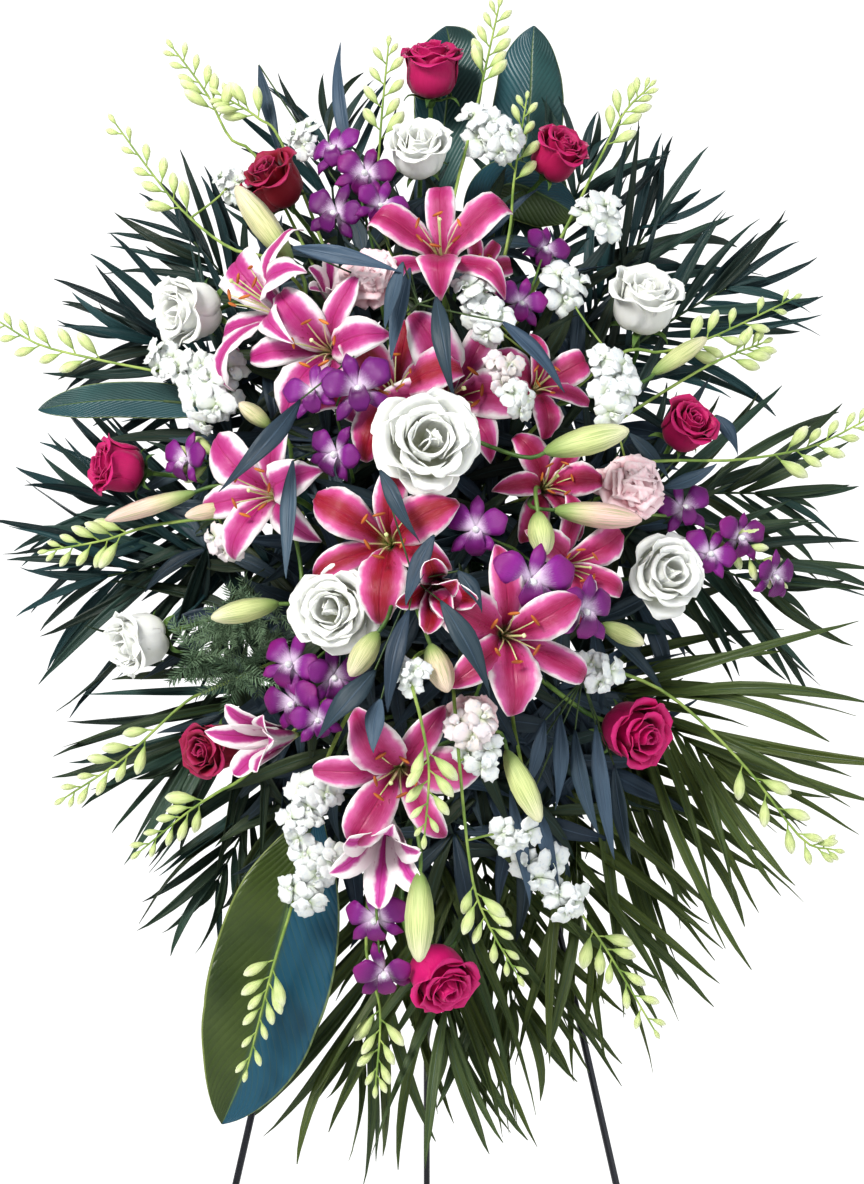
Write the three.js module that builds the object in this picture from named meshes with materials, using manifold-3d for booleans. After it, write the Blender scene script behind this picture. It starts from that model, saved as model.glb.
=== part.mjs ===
// A standing funeral spray: flowers and foliage in a block of wet foam, carried by a folding wire easel.
// Millimetres, +Z up, +X to the viewer's right and -Y towards the viewer.
import * as THREE from 'three';
import Module from 'manifold-3d';

const wasm = await Module();
wasm.setup();

// Driving dimensions of the stand
const foamHeight = 1126;
const leanBack = 10;
const backLean = 14.5;
const rodRadius = 3.5;
const crossbarRadius = 3;
const apexUp = 190;
const legTopSpread = 9;
const legSlope = 0.22;
const crossbarUps = [70, -70];
const hingeBarRadius = 4;
const hingeBarHalf = 24;
const hingeClearance = 0.4;
const eyeRadius = 9;
const eyeWidth = 8;
const eyeSides = 12;
const knobRadius = 7;
const knobWidth = 6;

// Driving dimensions of the holder
const foamHalfWidth = 55;
const foamHalfLength = 115;
const foamBack = 7.5;
const foamFront = 92;
const trayBack = 4.2;
const trayFloor = 3;
const trayWall = 3;
const trayFront = 14;
const hookSpread = 20;
const hookWidth = 10;
const hookThick = 3;
const strapHalf = 4;
const strapThick = 0.8;
const gap = 0.3;
const holeDepth = 26;
const stemRise = 12;
const holeSides = 4;
const holeSpacing = [19, 29];
const edgeHoleDepth = 20;
const roomRadius = 4;
const roomRise = 8;

// The eye from which the places below are seen: its distance, and where it looks
const eyeDistance = 2600;
const eyeRight = 6;
const eyeUp = -32;
const eyePlane = 110;

// What counts as a sliver, by its edge or its height, and how far a face may turn as one goes
const shortEdge = 0.4;
const thinFace = 0.02;
const sliverTurn = 0.9;

const radians = THREE.MathUtils.degToRad;
const group = new THREE.Group();
const colours = {
  steel: { color: 0x101114, roughness: 0.45, metalness: 0.8 },
  plastic: { color: 0x1d4a2a, roughness: 0.6, metalness: 0 },
  foam: { color: 0x2f5a33, roughness: 0.95, metalness: 0 },
  palm: { color: 0x24402f, roughness: 0.55, metalness: 0 },
  broadLeaf: { color: 0x1f4a45, roughness: 0.4, metalness: 0 },
  greyLeaf: { color: 0x46606c, roughness: 0.6, metalness: 0 },
  fern: { color: 0x4b6b4a, roughness: 0.8, metalness: 0 },
  redRose: { color: 0xb0123f, roughness: 0.6, metalness: 0 },
  whiteRose: { color: 0xf2f3ee, roughness: 0.6, metalness: 0 },
  lily: { color: 0xd24a86, roughness: 0.5, metalness: 0 },
  orchid: { color: 0x7a1f9a, roughness: 0.5, metalness: 0 },
  whiteOrchid: { color: 0xdfe8c8, roughness: 0.55, metalness: 0 },
  carnation: { color: 0xf0cfd6, roughness: 0.8, metalness: 0 },
};

// Seeded random numbers, so that every run draws the same part
let seed = 20;
function random(low, high) {
  seed = (seed * 1664525 + 1013904223) % 4294967296;
  return low + ((high - low) * seed) / 4294967296;
}

// A place seen from the front: right and up of the foam's middle, and forward of the easel's plane
function seen([right, up, forward]) {
  const back = up * Math.tan(radians(leanBack)) - forward;
  const spread = (eyeDistance + back + eyePlane) / eyeDistance;
  const x = eyeRight + (right - eyeRight) * spread;
  const z = eyeUp + (up - eyeUp) * spread;
  return new THREE.Vector3(x, back, foamHeight + z);
}

// A place in the easel's own leaning frame: across, up along it, and straight out of it
const leaning = new THREE.Matrix4().makeRotationX(radians(-leanBack)).setPosition(0, 0, foamHeight);
function onEasel([across, up, out]) {
  return new THREE.Vector3(across, -out, up).applyMatrix4(leaning);
}

function facing(turn, lift) {
  const level = Math.cos(radians(lift));
  return new THREE.Vector3(
    Math.sin(radians(turn)) * level,
    -Math.cos(radians(turn)) * level,
    Math.sin(radians(lift)),
  );
}

// Closed skins: points, and the triangles between rings of them
class Skin {
  constructor() {
    this.points = [];
    this.faces = [];
  }

  ring(points) {
    return points.map((point) => this.points.push(point) - 1);
  }

  bridge(low, high) {
    low.forEach((a, i) => {
      const next = (i + 1) % low.length;
      this.faces.push([a, low[next], high[next]], [a, high[next], high[i]]);
    });
  }

  fan(ring, tip) {
    const [last] = this.ring([tip]);
    ring.forEach((a, i) => this.faces.push([a, ring[(i + 1) % ring.length], last]));
  }

  cap(ring) {
    for (let i = 1; i < ring.length - 1; i += 1) {
      this.faces.push([ring[0], ring[i + 1], ring[i]]);
    }
  }

  solid() {
    const vertProperties = new Float32Array(this.points.flatMap((point) => point.toArray()));
    const build = (faces) => new wasm.Manifold(new wasm.Mesh({
      numProp: 3,
      vertProperties,
      triVerts: new Uint32Array(faces.flat()),
    }));
    const first = build(this.faces);
    return first.volume() > 0 ? first : build(this.faces.map(([a, b, c]) => [a, c, b]));
  }
}

// A solid through rings, closed flat at its start and flat or in a point at its end
function loft(rings, tip) {
  const skin = new Skin();
  const indices = rings.map((ring) => skin.ring(ring));
  skin.cap(indices[0]);
  for (let i = 1; i < indices.length; i += 1) {
    skin.bridge(indices[i - 1], indices[i]);
  }
  const last = indices[indices.length - 1];
  if (tip) {
    skin.fan(last, tip);
  } else {
    skin.cap([...last].reverse());
  }
  return skin.solid();
}

// Directions along and across a line of points, carried on without twist
function frames(points, up) {
  let across = up.clone();
  return points.map((point, i) => {
    const before = points[Math.max(i - 1, 0)];
    const after = points[Math.min(i + 1, points.length - 1)];
    const along = after.clone().sub(before).normalize();
    const side = along.clone().cross(across).normalize();
    across = side.clone().cross(along).normalize();
    return { point, along, side, top: across.clone() };
  });
}

function steadyUp(points) {
  const along = points[points.length - 1].clone().sub(points[0]).normalize();
  return Math.abs(along.z) < 0.8 ? new THREE.Vector3(0, 0, 1) : new THREE.Vector3(0, -1, 0);
}

function tubeRings(points, radii, sides) {
  return frames(points, steadyUp(points)).map(({ point, side, top }, i) => {
    const radius = Array.isArray(radii) ? radii[i] : radii;
    return Array.from({ length: sides }, (_, k) => {
      const angle = (2 * Math.PI * k) / sides;
      return point.clone()
        .addScaledVector(side, Math.cos(angle) * radius)
        .addScaledVector(top, Math.sin(angle) * radius);
    });
  });
}

function tube(points, radii, sides) {
  return loft(tubeRings(points, radii, sides));
}

// A leaf or petal: a lens-shaped section at each place, on a stalk and with a pointed tip
function leaf(points, halfWidths, thick, up, cup = 0) {
  const all = frames(points, up);
  const rings = all.slice(0, -1).map(({ point, side, top }, i) => {
    const half = halfWidths[i];
    const lift = cup * half;
    return [
      point.clone().addScaledVector(side, -half).addScaledVector(top, lift),
      point.clone().addScaledVector(top, thick / 2),
      point.clone().addScaledVector(side, half).addScaledVector(top, lift),
      point.clone().addScaledVector(top, -thick / 2),
    ];
  });
  return loft(rings, points[points.length - 1]);
}

// Every solid placed so far, so that a later one can be bent clear of it
const placed = [];
const parts = new Map();

function boxOf(solid) {
  const { min, max } = solid.boundingBox();
  return new THREE.Box3(new THREE.Vector3(...min), new THREE.Vector3(...max));
}

function isClear(solid, skip) {
  const box = boxOf(solid).expandByScalar(gap);
  return !placed.some((other) => {
    if (skip(other) || !box.intersectsBox(other.box)) {
      return false;
    }
    const shared = solid.intersect(other.solid);
    const volume = shared.volume();
    shared.delete();
    return volume > 0.0005;
  });
}

function place(name, piece, solid) {
  placed.push({ name, piece, solid, box: boxOf(solid) });
  if (!parts.has(name)) {
    parts.set(name, []);
  }
  parts.get(name).push(solid);
  return solid;
}

// The first of several tries that stays clear of what is already there
function placeClear(name, tries, options = {}) {
  const { piece = name, last = false, strict = false } = options;
  const skip = (other) => other.name === name && (!strict || other.piece === piece || other.piece === name);
  for (const attempt of tries) {
    const solid = attempt();
    if (isClear(solid, skip)) {
      place(name, piece, solid);
      return true;
    }
  }
  if (last) {
    place(name, piece, tries[tries.length - 1]());
  }
  return false;
}

// Holes in the foam's front, one for each stem that stands there
const frontHoles = [];
for (let column = -2.5; column <= 2.5; column += 1) {
  for (let row = -3.5; row <= 3.5; row += 1) {
    frontHoles.push({ name: '', across: column * holeSpacing[0], up: row * holeSpacing[1] });
  }
}

// Stems are given holes so that all of them together are as short as can be: then they cross least
function pairHoles(targets) {
  const reach = (name, { across, up }) => {
    const [right, high] = targets[name] ?? [across, up];
    return Math.hypot(right - across, high - up);
  };
  Object.keys(targets).forEach((name, k) => {
    frontHoles[k].name = name;
  });
  let swaps = 1;
  while (swaps > 0) {
    swaps = 0;
    frontHoles.forEach((first, k) => frontHoles.slice(k + 1).forEach((second) => {
      const now = reach(first.name, first) + reach(second.name, second);
      if (reach(second.name, first) + reach(first.name, second) < now - 0.01) {
        [first.name, second.name] = [second.name, first.name];
        swaps += 1;
      }
    }));
  }
}

function drillHole(inner, outer, radius) {
  const hole = tube([inner, outer], (radius + gap) / Math.cos(Math.PI / holeSides), holeSides);
  const foam = placed.find((other) => other.name === 'holder_foam');
  foam.solid = foam.solid.subtract(hole);
  parts.set('holder_foam', [foam.solid]);
}

// Room is kept round the foot of each stem, so that no other is bent across its hole
function keepRoom({ name, across, up }) {
  const foot = onEasel([across, up, foamFront]);
  const rise = tube([foot, onEasel([across, up, foamFront + stemRise + roomRise])], roomRadius, 4);
  placed.push({ name, piece: 'room', solid: rise, box: boxOf(rise) });
}

function frontHub(name, radius) {
  const hole = frontHoles.find((other) => other.name === name);
  const inner = onEasel([hole.across, hole.up, foamFront - holeDepth]);
  const outer = onEasel([hole.across, hole.up, foamFront + stemRise]);
  const floor = onEasel([hole.across, hole.up, foamFront - holeDepth - gap]);
  drillHole(floor, outer, radius);
  return { inner, outer };
}

// A hole in one of the foam's edges: left, right, top or bottom
function edgeHub(side, along, out, radius) {
  const spots = {
    left: (depth) => [-foamHalfWidth + depth, along, out],
    right: (depth) => [foamHalfWidth - depth, along, out],
    top: (depth) => [along, foamHalfLength - depth, out],
    bottom: (depth) => [along, depth - foamHalfLength, out],
  };
  const inner = onEasel(spots[side](edgeHoleDepth));
  const floor = onEasel(spots[side](edgeHoleDepth + gap));
  const outer = onEasel(spots[side](-stemRise));
  drillHole(floor, outer, radius);
  return { inner, outer };
}

// Bends tried for a stem: none, then further and further to all sides, at three places along it
const bends = [{ share: 0.5, offset: new THREE.Vector3() }];
for (const reach of [10, 20, 32, 46, 64]) {
  for (const share of [0.5, 0.3, 0.7]) {
    for (let k = 0; k < 12; k += 1) {
      const angle = (Math.PI * k) / 6;
      const out = ((k % 3) - 1) * reach * 0.6;
      bends.push({ share, offset: new THREE.Vector3(Math.cos(angle) * reach, out, Math.sin(angle) * reach) });
    }
  }
}

function bentLine(start, end, { share, offset }) {
  return [start, start.clone().lerp(end, share).add(offset), end];
}

function clearStem(name, start, end, radius, sides = 3) {
  const skip = (other) => other.name === name;
  const isFree = (bend) => isClear(tube(bentLine(start, end, bend), radius, sides), skip);
  const found = bends.find(isFree) ?? bends[0];
  return found === bends[0] ? [start, end] : bentLine(start, end, found);
}

// Part of the way along a line of points
function alongLine(points, share) {
  const place = share * (points.length - 1);
  const i = Math.min(Math.floor(place), points.length - 2);
  return points[i].clone().lerp(points[i + 1], place - i);
}

function nearestShare(points, target) {
  let best = 0;
  for (let k = 0; k <= 60; k += 1) {
    if (alongLine(points, k / 60).distanceTo(target) < alongLine(points, best).distanceTo(target)) {
      best = k / 60;
    }
  }
  return best;
}

function rootStem(name, hub, radius, sides) {
  const end = hub.inner.clone().lerp(hub.outer, 1.1);
  place(name, name, tube([hub.inner, end], radius, sides));
}

// Flower heads: a lattice of rings with a petal growing out of each diamond in it
function headPoint(head, radius, angle, height) {
  return head.seat.clone()
    .addScaledVector(head.across, Math.cos(angle) * radius)
    .addScaledVector(head.over, Math.sin(angle) * radius)
    .addScaledVector(head.axis, height);
}

function makeHead(at, axis, roll, back) {
  const upright = Math.abs(axis.z) > 0.95 ? new THREE.Vector3(0, 1, 0) : new THREE.Vector3(0, 0, 1);
  const right = upright.clone().cross(axis).normalize();
  const over = axis.clone().cross(right).normalize();
  right.applyAxisAngle(axis, radians(roll));
  over.applyAxisAngle(axis, radians(roll));
  return { seat: at.clone().addScaledVector(axis, -back), axis, across: right, over };
}

function petalRings(head, petal, angle, fold, shrink) {
  const root = petal.stations[0];
  const swing = ({ radius, height }) => {
    const out = (radius - root.radius) * shrink;
    const rise = (height - root.height) * shrink;
    const turn = radians(fold);
    return {
      radius: root.radius + out * Math.cos(turn) - rise * Math.sin(turn),
      height: root.height + out * Math.sin(turn) + rise * Math.cos(turn),
    };
  };
  const sideways = head.across.clone().multiplyScalar(-Math.sin(angle));
  sideways.addScaledVector(head.over, Math.cos(angle));
  const outward = head.across.clone().multiplyScalar(Math.cos(angle));
  outward.addScaledVector(head.over, Math.sin(angle));
  const rings = petal.stations.slice(1).map((station) => {
    const { radius, height } = swing(station);
    const half = station.half * Math.min(1, 0.4 + 0.6 * shrink);
    const middle = headPoint(head, radius, angle, height);
    const hug = petal.hug * (Math.abs(radius) - Math.sqrt(Math.max(radius * radius - half * half, 0)));
    const face = outward.clone().multiplyScalar(station.faceOut);
    face.addScaledVector(head.axis, station.faceUp);
    face.multiplyScalar(petal.thick / 2);
    const edge = (sign) => middle.clone()
      .addScaledVector(sideways, sign * half)
      .addScaledVector(outward, -hug + sign * petal.skew)
      .addScaledVector(head.axis, petal.cup * half);
    return [edge(-1), middle.clone().sub(face), edge(1), middle.clone().add(face)];
  });
  const tip = swing(petal.tip);
  return { rings, tip: headPoint(head, tip.radius, angle, tip.height) };
}

// How far a petal is folded, in degrees, and shrunk, until it has room
const petalTries = [
  [0, 1], [12, 1], [-12, 1], [0, 0.85], [20, 0.85], [-20, 0.85], [30, 0.7], [0, 0.6], [40, 0.5], [0, 0.35],
];

// A stamen that stands on three corners of the head, with its anther near its tip
function stamenOn(skin, corners, head, { stamens }, angle) {
  const base = corners.map((index) => skin.points[index]);
  const root = new THREE.Vector3();
  base.forEach((point) => root.addScaledVector(point, 1 / 3));
  const tip = headPoint(head, stamens.radius, angle, stamens.height);
  const anther = root.clone().lerp(tip, 0.84);
  const ring = base.map((point) => {
    const way = point.clone().sub(root).normalize();
    return anther.clone().addScaledVector(way, stamens.thick);
  });
  return { ring, tip, solid: loft([base, ring], tip) };
}

// The head's petals, on a skin that is still open at its foot
function growHead(name, piece, head, flower) {
  const skin = new Skin();
  const { sides, lattice, layers } = flower;
  const step = (2 * Math.PI) / sides;
  const around = (radius, height, phase) => skin.ring(
    Array.from({ length: sides }, (_, k) => headPoint(head, radius, (k + phase) * step, height)),
  );
  const rows = lattice.map(([radius, height], row) => around(radius, height, row % 2 ? 0 : 0.5));
  rows[0].forEach((a, k) => {
    const next = (k + 1) % sides;
    skin.faces.push([a, rows[0][next], rows[1][next]]);
  });
  layers.forEach((petal, layer) => {
    const shift = layer % 2;
    for (let k = 0; k < sides; k += 1) {
      const middle = (k + shift) % sides;
      const belt = rows[layer + 1];
      const diamond = [belt[k], rows[layer][middle], belt[(k + 1) % sides], rows[layer + 2][middle]];
      const angle = (k + 0.5 + shift * 0.5) * step;
      const corners = diamond.map((index) => skin.points[index]);
      let grown = null;
      for (const [fold, shrink] of petalTries) {
        grown = petalRings(head, petal, angle, fold + random(-3, 3), shrink * random(0.94, 1.04));
        if (isClear(loft([corners, ...grown.rings], grown.tip), (other) => other.piece === piece)) {
          break;
        }
      }
      let before = diamond;
      for (const ring of grown.rings) {
        const next = skin.ring(ring);
        skin.bridge(before, next);
        before = next;
      }
      skin.fan(before, grown.tip);
    }
  });
  const top = rows[rows.length - 1];
  top.forEach((a, k) => {
    const under = rows[rows.length - 2][(k + (layers.length % 2)) % sides];
    const corners = [a, under, top[(k + 1) % sides]];
    const stamen = flower.stamens ? stamenOn(skin, corners, head, flower, (k + 0.5) * step) : null;
    if (stamen && isClear(stamen.solid, (other) => other.piece === piece)) {
      const anther = skin.ring(stamen.ring);
      skin.bridge(corners, anther);
      skin.fan(anther, stamen.tip);
    } else {
      skin.faces.push(corners);
    }
  });
  const heart = flower.heart.reduce((before, [radius, height]) => {
    const next = around(radius, height, layers.length % 2 ? 0.5 : 0);
    skin.bridge(before, next);
    return next;
  }, top);
  skin.fan(heart, headPoint(head, 0, 0, flower.tip));
  const grown = { name, piece, head, flower, skin, foot: rows[0] };
  placed.push(withFoot(grown));
  return grown;
}

// A head closed under its petals, as later stems and leaves find it
function withFoot({ name, piece, head, flower, skin, foot }) {
  const closed = new Skin();
  closed.points = [...skin.points];
  closed.faces = [...skin.faces];
  closed.fan([...foot].reverse(), headPoint(head, 0, 0, flower.foot));
  const solid = closed.solid();
  return { name, piece, solid, box: boxOf(solid) };
}

// The stem that runs on from the foot of a head, down a line of points to its root
function growStem({ name, piece, head, flower, skin, foot }, route, radius) {
  const { sides } = flower;
  const step = (2 * Math.PI) / sides;
  let after = foot;
  for (let i = route.length - 1; i >= 0; i -= 1) {
    const ahead = route[Math.min(i + 1, route.length - 1)];
    const along = ahead.clone().sub(route[Math.max(i - 1, 0)]).normalize();
    const turn = new THREE.Quaternion().setFromUnitVectors(head.axis, along);
    const across = head.across.clone().applyQuaternion(turn);
    const over = head.over.clone().applyQuaternion(turn);
    const ring = skin.ring(Array.from({ length: sides }, (_, k) => route[i].clone()
      .addScaledVector(across, Math.cos((k + 0.5) * step) * radius)
      .addScaledVector(over, Math.sin((k + 0.5) * step) * radius)));
    skin.bridge(ring, after);
    after = ring;
  }
  skin.cap(after);
  place(name, piece, skin.solid());
}

// Rose: five outer and five inner petals round a closed heart, for a bloom one millimetre across
const roseShape = {
  sides: 5,
  foot: -0.14,
  lattice: [[0.1, -0.03], [0.15, 0.05], [0.14, 0.11], [0.12, 0.17]],
  layers: [
    {
      stations: [
        { radius: 0.15, height: 0.05 },
        { radius: 0.37, height: 0.2, half: 0.28, faceOut: -0.7, faceUp: 0.7 },
        { radius: 0.44, height: 0.52, half: 0.31, faceOut: -1, faceUp: 0 },
      ],
      tip: { radius: 0.54, height: 0.7 },
      hug: 1,
      skew: 0.04,
      cup: 0,
    },
    {
      stations: [
        { radius: 0.14, height: 0.11 },
        { radius: 0.27, height: 0.44, half: 0.22, faceOut: -1, faceUp: 0.2 },
      ],
      tip: { radius: 0.26, height: 0.86 },
      hug: 1,
      skew: 0.03,
      cup: 0,
    },
  ],
  heart: [],
  tip: 0.8,
};

// Open lily: three outer and three inner petals curled back from a throat, for petals one millimetre long
const lilyShape = {
  sides: 3,
  foot: -0.26,
  lattice: [[0.07, -0.02], [0.1, 0.09], [0.09, 0.17], [0.07, 0.25]],
  layers: [
    {
      stations: [
        { radius: 0.1, height: 0.09 },
        { radius: 0.36, height: 0.47, half: 0.15, faceOut: -0.6, faceUp: 0.8 },
        { radius: 0.74, height: 0.6, half: 0.17, faceOut: 0.1, faceUp: 1 },
      ],
      tip: { radius: 1, height: 0.4 },
      hug: 0,
      skew: 0,
      cup: 0.3,
    },
    {
      stations: [
        { radius: 0.09, height: 0.17 },
        { radius: 0.34, height: 0.56, half: 0.2, faceOut: -0.6, faceUp: 0.8 },
        { radius: 0.7, height: 0.72, half: 0.22, faceOut: 0.1, faceUp: 1 },
      ],
      tip: { radius: 0.97, height: 0.52 },
      hug: 0,
      skew: 0,
      cup: 0.3,
    },
  ],
  heart: [],
  tip: 0.95,
};

// Half-open lily: the same petals, still held together in a trumpet
const trumpetShape = {
  ...lilyShape,
  layers: [
    {
      ...lilyShape.layers[0],
      stations: [
        { radius: 0.1, height: 0.09 },
        { radius: 0.33, height: 0.8, half: 0.2, faceOut: -0.9, faceUp: 0.3 },
      ],
      tip: { radius: 0.62, height: 1.3 },
    },
    {
      ...lilyShape.layers[1],
      stations: [
        { radius: 0.09, height: 0.17 },
        { radius: 0.26, height: 0.8, half: 0.18, faceOut: -0.9, faceUp: 0.3 },
      ],
      tip: { radius: 0.42, height: 1.25 },
    },
  ],
};

function scaled(shape, size, thick) {
  const station = ({ radius, height, half, faceOut, faceUp }) => ({
    radius: radius * size,
    height: height * size,
    half: half * size,
    faceOut,
    faceUp,
  });
  return {
    sides: shape.sides,
    foot: shape.foot * size,
    lattice: shape.lattice.map(([radius, height]) => [radius * size, height * size]),
    layers: shape.layers.map((layer) => ({
      stations: layer.stations.map(station),
      tip: { radius: layer.tip.radius * size, height: layer.tip.height * size },
      hug: layer.hug,
      skew: layer.skew * size,
      cup: layer.cup,
      thick,
    })),
    heart: shape.heart.map(([radius, height]) => [radius * size, height * size]),
    tip: shape.tip * size,
  };
}

// Roses: where each faces, seen from the front, and the width of the bloom
const roses = {
  rose_red_top: { at: [6, 488, 78], turn: 5, lift: 52, size: 68, hole: ['top', -34, 76] },
  rose_red_upper_left: { at: [-151, 377, 128], turn: -42, lift: 34, size: 64 },
  rose_red_upper_right: { at: [131, 404, 100], turn: 40, lift: 28, size: 60 },
  rose_red_left: { at: [-306, 92, 118], turn: -66, lift: 8, size: 62 },
  rose_red_right: { at: [260, 132, 150], turn: 30, lift: 30, size: 56 },
  rose_red_lower_right: { at: [207, -172, 178], turn: 38, lift: -14, size: 64 },
  rose_pink_bottom: { at: [13, -415, 140], turn: 28, lift: -34, size: 66 },
  rose_red_lower_left: { at: [-213, -188, 122], turn: -42, lift: -6, size: 58 },
  rose_white_upper_left: { at: [-236, 249, 132], turn: -48, lift: -8, size: 72 },
  rose_white_upper_right: { at: [219, 257, 120], turn: 12, lift: 48, size: 74 },
  rose_white_top: { at: [-6, 409, 150], turn: 0, lift: 42, size: 68 },
  rose_white_open: { at: [3, 119, 318], turn: 8, lift: 6, size: 88 },
  rose_white_centre_left: { at: [-93, -50, 268], turn: -12, lift: 2, size: 76 },
  rose_white_right: { at: [241, -13, 160], turn: 22, lift: 4, size: 74 },
  rose_white_lower_left: { at: [-286, -81, 118], turn: -52, lift: -14, size: 66 },
};

function makeRose(name, { at, turn, lift, size }) {
  const head = makeHead(seen(at), facing(turn, lift), 17, size * 0.4);
  return growHead(name, name, head, scaled(roseShape, size, 1.6));
}

// Lilies: each stem's open flowers, trumpets and buds, seen from the front
const lilies = {
  lily_stem_top: {
    open: [
      { at: [14, 319, 226], turn: -4, lift: 34, roll: 30, size: 80 },
      { at: [56, 292, 176], turn: 30, lift: 20, roll: 0, size: 42 },
    ],
    buds: [],
  },
  lily_stem_upper_left: {
    open: [
      { at: [-168, 262, 214], turn: -58, lift: 26, roll: 20, size: 84 },
      { at: [-106, 214, 246], turn: -16, lift: 4, roll: 0, size: 82 },
    ],
    trumpets: [{ at: [-92, 280, 186], turn: 8, lift: 30, roll: 30, size: 44 }],
    buds: [{ from: [-134, 297, 196], to: [-190, 374, 206], radius: 14 }],
  },
  lily_stem_centre: {
    open: [
      { at: [-34, 178, 250], turn: -6, lift: 22, roll: 20, size: 74 },
      { at: [30, 168, 222], turn: 12, lift: 10, roll: 0, size: 92 },
      { at: [117, 178, 214], turn: 20, lift: 14, roll: 30, size: 58 },
    ],
    buds: [
      { from: [118, 108, 262], to: [203, 130, 272], radius: 14 },
      { from: [226, 186, 172], to: [281, 222, 168], radius: 10 },
    ],
  },
  lily_stem_left: {
    open: [{ at: [-164, 66, 226], turn: -24, lift: 2, roll: 14, size: 80 }],
    buds: [
      { from: [-147, -43, 206], to: [-215, -58, 214], radius: 12 },
      { from: [-230, 68, 172], to: [-321, 40, 158], radius: 10 },
      { from: [-155, 133, 214], to: [-187, 157, 218], radius: 9 },
      { from: [-196, 54, 190], to: [-241, 44, 196], radius: 9 },
    ],
  },
  lily_stem_front: {
    open: [
      { at: [-40, 22, 286], turn: -6, lift: 8, roll: 30, size: 82 },
      { at: [86, -76, 300], turn: 10, lift: 0, roll: 30, size: 84 },
    ],
    trumpets: [{ at: [14, -34, 330], turn: 4, lift: -12, roll: 0, size: 38 }],
    buds: [
      { from: [-48, -72, 304], to: [-76, -116, 312], radius: 12 },
      { from: [4, -84, 316], to: [22, -132, 326], radius: 13 },
    ],
  },
  lily_stem_right: {
    open: [
      { at: [126, 78, 206], turn: 16, lift: 12, roll: 0, size: 62 },
      { at: [148, -6, 226], turn: 26, lift: 0, roll: 30, size: 66 },
    ],
    buds: [
      { from: [112, 48, 262], to: [118, 4, 276], radius: 13 },
      { from: [128, 50, 242], to: [216, 40, 240], radius: 13 },
      { from: [176, -64, 222], to: [218, -84, 226], radius: 10 },
    ],
  },
  lily_stem_low: {
    open: [{ at: [-30, -214, 256], turn: -4, lift: -6, roll: 0, size: 82 }],
    trumpets: [
      { at: [-46, -292, 232], turn: -6, lift: -24, roll: 20, size: 46 },
      { at: [-168, -182, 186], turn: -34, lift: -4, roll: 0, size: 40 },
    ],
    buds: [
      { from: [80, -190, 262], to: [114, -262, 268], radius: 13 },
      { from: [-6, -312, 240], to: [-7, -402, 246], radius: 14 },
    ],
  },
};

function addBud(name, main, { from, to, radius }) {
  const end = seen(to);
  const start = seen(from);
  const moves = [[0, 0], [8, 0], [-8, 0], [0, 10], [0, -10], [16, 8], [-16, 8], [16, -8], [-16, -8]];
  const budRings = (tip) => {
    const belt = start.clone().lerp(tip, 0.52);
    return tubeRings([start, belt, tip], [2.6, radius, 0], 4).slice(0, 2);
  };
  const tips = moves.map(([right, out]) => end.clone().add(new THREE.Vector3(right, -out, 0)));
  const skip = (other) => other.name === name;
  const tip = tips.find((tried) => isClear(loft(budRings(tried), tried), skip)) ?? tips[0];
  const root = alongLine(main, Math.max(nearestShare(main, start) - 0.3, 0.35));
  const route = clearStem(name, root, start, 2);
  const stalk = tubeRings([...route.slice(0, -1), start.clone().lerp(tip, -0.02)], 1.8, 4);
  place(name, name, loft([...stalk.slice(0, -1), ...budRings(tip)], tip));
}

function makeLilyHeads(name, { open, trumpets = [] }) {
  const grow = (shape, back, kind) => ({ at, turn, lift, roll, size }, k) => {
    const head = makeHead(seen(at), facing(turn, lift), roll, size * back);
    const flower = scaled(shape, size, 2);
    if (kind === 'open' && size > 60) {
      flower.stamens = { radius: size * 0.24, height: size * 0.84, thick: 2.2 };
    }
    return { size, kind, ...growHead(name, `${name}_${kind}_${k}`, head, flower) };
  };
  return [
    ...open.map(grow(lilyShape, 0.55, 'open')),
    ...trumpets.map(grow(trumpetShape, 0.9, 'trumpet')),
  ];
}

// A small floret: a notched star with a lobe for each petal, and a narrow neck down to the stem
const pointedLobes = [0];
const broadLobes = [-0.24, 0.24];

function starFloret(seat, axis, roll, radius, corners, root) {
  const ahead = seat.clone().sub(root).dot(axis);
  const head = makeHead(seat, axis, roll, -Math.max(radius * 0.6 - ahead, 0));
  const skin = new Skin();
  const rim = [];
  const step = (2 * Math.PI) / 5;
  for (let k = 0; k < 5; k += 1) {
    rim.push(headPoint(head, radius * 0.36, (k - 0.5) * step, radius * 0.06));
    corners.forEach((corner) => {
      rim.push(headPoint(head, radius * random(0.88, 1.06), (k + corner) * step, radius * random(0.12, 0.4)));
    });
  }
  const edge = skin.ring(rim);
  skin.fan(edge, headPoint(head, 0, 0, radius * 0.16));
  const neck = skin.ring([0, 1, 2].map((k) => headPoint(head, 1.6, (k * 2 * Math.PI) / 3, -radius * 0.14)));
  const share = edge.length / neck.length;
  edge.forEach((a, i) => {
    const b = edge[(i + 1) % edge.length];
    const near = Math.floor(i / share);
    skin.faces.push([b, a, neck[near]]);
    if (Math.floor((i + 1) / share) !== near) {
      skin.faces.push([b, neck[near], neck[(near + 1) % neck.length]]);
    }
  });
  const beyond = root.clone().sub(head.seat).normalize();
  skin.fan([...neck].reverse(), root.clone().addScaledVector(beyond, 1.8));
  return skin.solid();
}

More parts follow.
